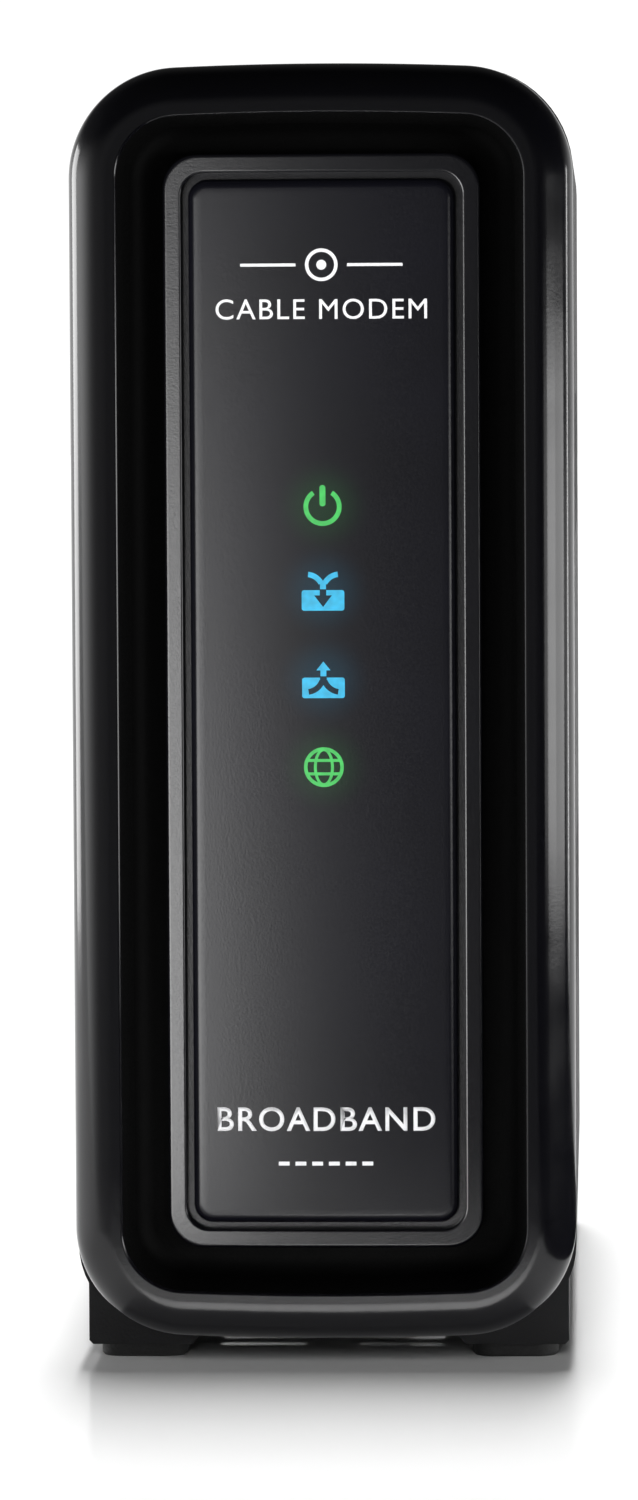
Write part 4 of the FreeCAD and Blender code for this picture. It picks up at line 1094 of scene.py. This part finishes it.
# ---- Power socket ----------------------------------------------------------------------------
# A black barrel jack soldered to the board, behind a square opening in the rear wall. Its
# nickel-plated centre pin and sprung contact are finished with the coaxial socket's.

dress("power_socket", jack_nylon)


# ---- Reset switch ----------------------------------------------------------------------------
# A small switch behind a pinhole in the rear wall: a plated frame, a steel snap dome and a white
# button that slides in by half a millimetre.

dress("reset_switch", plated_shield)
button_white = moulded(
    "button_white", (0.66, 0.66, 0.64), (0.74, 0.74, 0.72), (0.35, 0.5), 0.3 * MM, 0.008 * MM
)
dress("reset_button", button_white)


# ---- Foot pads and rating label --------------------------------------------------------------
# Four black rubber pads lie on the foot blocks. A blank silver polyester label is stuck in a
# shallow recess underneath.

foot_rubber = moulded(
    "foot_rubber", (0.012, 0.012, 0.012), (0.020, 0.020, 0.020), (0.70, 0.88), 0.25 * MM, 0.04 * MM
)
for pad_name in ("front_left", "front_right", "rear_left", "rear_right"):
    dress(pad_name + "_foot_pad", foot_rubber)
label_film = bare_metal(
    "label_film", (0.52, 0.53, 0.54), (0.62, 0.63, 0.64), (0.38, 0.5), (1, 20, 1), 0.002 * MM
)
dress("rating_label", label_film)


# ---- Studio ----------------------------------------------------------------------------------
# A pale table and a white backdrop, with soft boxes at both sides and a card for the island. A
# row of lamps leans back overhead, so the shadow falls to the front. A black cloth on the table
# at the right keeps the bezel's right side dark, and only reflections see it.

FLOOR_REACH = 6.0
FLOOR_FRONT = -0.152
FLAG_HEIGHT = 0.001


def empty_material(name):
    """A new material with nothing in its node tree."""
    material = bpy.data.materials.new(name)
    material.use_nodes = True
    material.node_tree.nodes.clear()
    return material


def stage_sheet(name, low, high, height, material):
    """A level sheet of the studio between two corners (x, y)."""
    mesh = bpy.data.meshes.new(name)
    corners = [(low[0], low[1]), (high[0], low[1]), (high[0], high[1]), (low[0], high[1])]
    mesh.from_pydata([(x, y, height) for x, y in corners], [], [(0, 1, 2, 3)])
    mesh.materials.append(material)
    sheet = bpy.data.objects.new(name, mesh)
    bpy.context.scene.collection.objects.link(sheet)
    sheet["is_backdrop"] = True
    return sheet


table_paint = empty_material("table_paint")
matt_layer = add_node(table_paint, "ShaderNodeBsdfDiffuse", {"Color": (0.88, 0.88, 0.88, 1)})
sheen_layer = add_node(
    table_paint, "ShaderNodeBsdfAnisotropic", {"Color": (0.95, 0.95, 0.95, 1), "Roughness": 0.14}
)
table_mix = add_node(
    table_paint, "ShaderNodeMixShader", {0: 0.22, 1: matt_layer.outputs[0], 2: sheen_layer.outputs[0]}
)
add_node(table_paint, "ShaderNodeOutputMaterial", {"Surface": table_mix.outputs[0]})
table_top = stage_sheet(
    "table_top", (-FLOOR_REACH, FLOOR_FRONT), (FLOOR_REACH, FLOOR_REACH), 0, table_paint
)
flag_cloth = empty_material("flag_cloth")
dark_layer = add_node(flag_cloth, "ShaderNodeBsdfDiffuse", {"Color": (0.01, 0.01, 0.01, 1)})
add_node(flag_cloth, "ShaderNodeOutputMaterial", {"Surface": dark_layer.outputs[0]})
black_flag = stage_sheet("black_flag", (0.045, -0.8), (1.5, 0.08), FLAG_HEIGHT, flag_cloth)
for sight in ("camera", "diffuse", "shadow", "transmission"):
    setattr(black_flag, "visible_" + sight, False)

world = bpy.data.worlds.new("studio")
bpy.context.scene.world = world
world.use_nodes = True
sky = world.node_tree
sky.nodes.clear()


def sky_node(kind, inputs=(), **settings):
    """Adds a node to the world's tree, wired and set by its inputs."""
    node = sky.nodes.new(kind)
    for key, value in settings.items():
        setattr(node, key, value)
    for key, value in dict(inputs).items():
        if isinstance(value, bpy.types.NodeSocket):
            sky.links.new(value, node.inputs[key])
        else:
            node.inputs[key].default_value = value
    return node


direction = sky_node("ShaderNodeTexCoord")
split = sky_node("ShaderNodeSeparateXYZ", {"Vector": direction.outputs["Generated"]})


def sky_range(source, low, high, start, end):
    """Output that goes smoothly from low to high while source goes from start to end."""
    node = sky_node("ShaderNodeMapRange", {"Value": source}, interpolation_type="SMOOTHSTEP")
    for key, value in (("From Min", start), ("From Max", end), ("To Min", low), ("To Max", high)):
        node.inputs[key].default_value = value
    return node.outputs["Result"]


def sky_math(operation, first, second, **settings):
    """Output of one sum on the sky's values."""
    node = sky_node("ShaderNodeMath", {0: first, 1: second}, operation=operation, **settings)
    return node.outputs[0]


leftward = sky_math("MULTIPLY", split.outputs["X"], -1.0, use_clamp=True)
left_wall = sky_math("MULTIPLY", sky_math("POWER", leftward, 7.0), 3.1)
front_glow = sky_range(split.outputs["X"], 0.26, 0.02, -0.45, 0.35)
back_wall = sky_range(split.outputs["Y"], 0.0, 0.9, 0.1, 0.8)
low_band = sky_range(split.outputs["Z"], 1.0, 0.05, 0.0, 0.42)
walls = sky_math("ADD", sky_math("ADD", left_wall, front_glow), back_wall)
strength = sky_math("MULTIPLY", walls, low_band)
around = sky_node("ShaderNodeBackground", {"Color": (1, 1, 1, 1), "Strength": strength})
backdrop = sky_node("ShaderNodeBackground", {"Color": (1, 1, 1, 1), "Strength": 1.1})
rays = sky_node("ShaderNodeLightPath")
mixed = sky_node(
    "ShaderNodeMixShader", {0: rays.outputs["Is Camera Ray"], 1: around.outputs[0], 2: backdrop.outputs[0]}
)
sky_node("ShaderNodeOutputWorld", {"Surface": mixed.outputs[0]})


def lit_only(light, receivers):
    """Keeps a light for the given objects only, as a shielded lamp would be."""
    group = bpy.data.collections.new(light.name + "_receivers")
    for receiver in receivers:
        group.objects.link(receiver)
    light.light_linking.receiver_collection = group


def soft_box(name, place, target, size, radiance):
    """A rectangular light at place, turned to target, that the camera does not see."""
    data = bpy.data.lights.new(name, "AREA")
    data.shape = "RECTANGLE"
    data.size, data.size_y = size
    data.energy = radiance * math.pi * size[0] * size[1]
    light = bpy.data.objects.new(name, data)
    light.location = place
    light.rotation_euler = (Vector(target) - Vector(place)).to_track_quat("-Z", "Y").to_euler()
    light.visible_camera = False
    bpy.context.scene.collection.objects.link(light)
    return light


body_middle = (0, -0.06, 0.066)
island_card = soft_box("island_card", (-0.46, -0.897, -0.12), body_middle, (0.71, 0.46), 10.0)
island_pieces = [trim_frame, panel] + [nodes[symbol] for symbol, _ in SYMBOL_COLOURS] + print_pieces
lit_only(island_card, island_pieces)
side_boxes = (
    ("left_box", (-0.50, 0.16, 0.10), (0.22, 0.34), 6.0),
    ("right_front_box", (0.403, -0.241, 0.060), (0.46, 0.10), 4.8),
    ("right_inner_box", (0.345, -0.395, 0.060), (0.30, 0.085), 1.8),
    ("right_strip", (0.464, 0.121, 0.06), (0.035, 0.22), 9.0),
)
for box_name, place, size, radiance in side_boxes:
    lit_only(soft_box(box_name, place, body_middle, size, radiance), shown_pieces())
casing_pieces = [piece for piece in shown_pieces() if piece not in [bezel] + island_pieces]
lamps = [
    ("overhead_tube_%d" % row, 0.66, 7, -lean, [table_top] + casing_pieces)
    for row, lean in enumerate((1, 4, 7, 11, 16, 22))
]
lamps.append(("low_front_fill", 1.6, 20, 70, [table_top]))
for lamp_name, energy, softness, lean, receivers in lamps:
    lamp_data = bpy.data.lights.new(lamp_name, "SUN")
    lamp_data.energy = energy
    lamp_data.angle = math.radians(softness)
    lamp = bpy.data.objects.new(lamp_name, lamp_data)
    lamp.rotation_euler = (math.radians(lean), 0, 0)
    bpy.context.scene.collection.objects.link(lamp)
    lit_only(lamp, receivers)

camera_data = bpy.data.cameras.new("camera")
camera_data.sensor_width = 36
camera_data.lens = 167.5
camera_data.clip_end = 50
camera = bpy.data.objects.new("camera", camera_data)
camera.location = (0.0280, -0.766, 0.10371)
turn = Matrix.Rotation(math.radians(2.3145), 4, "Z")
tilt = Matrix.Rotation(math.radians(90 - 3.32), 4, "X")
roll = Matrix.Rotation(math.radians(-0.304), 4, "Z")
camera.rotation_euler = (turn @ tilt @ roll).to_euler()
bpy.context.scene.collection.objects.link(camera)
bpy.context.scene.camera = camera
bpy.context.scene.view_settings.view_transform = "Standard"
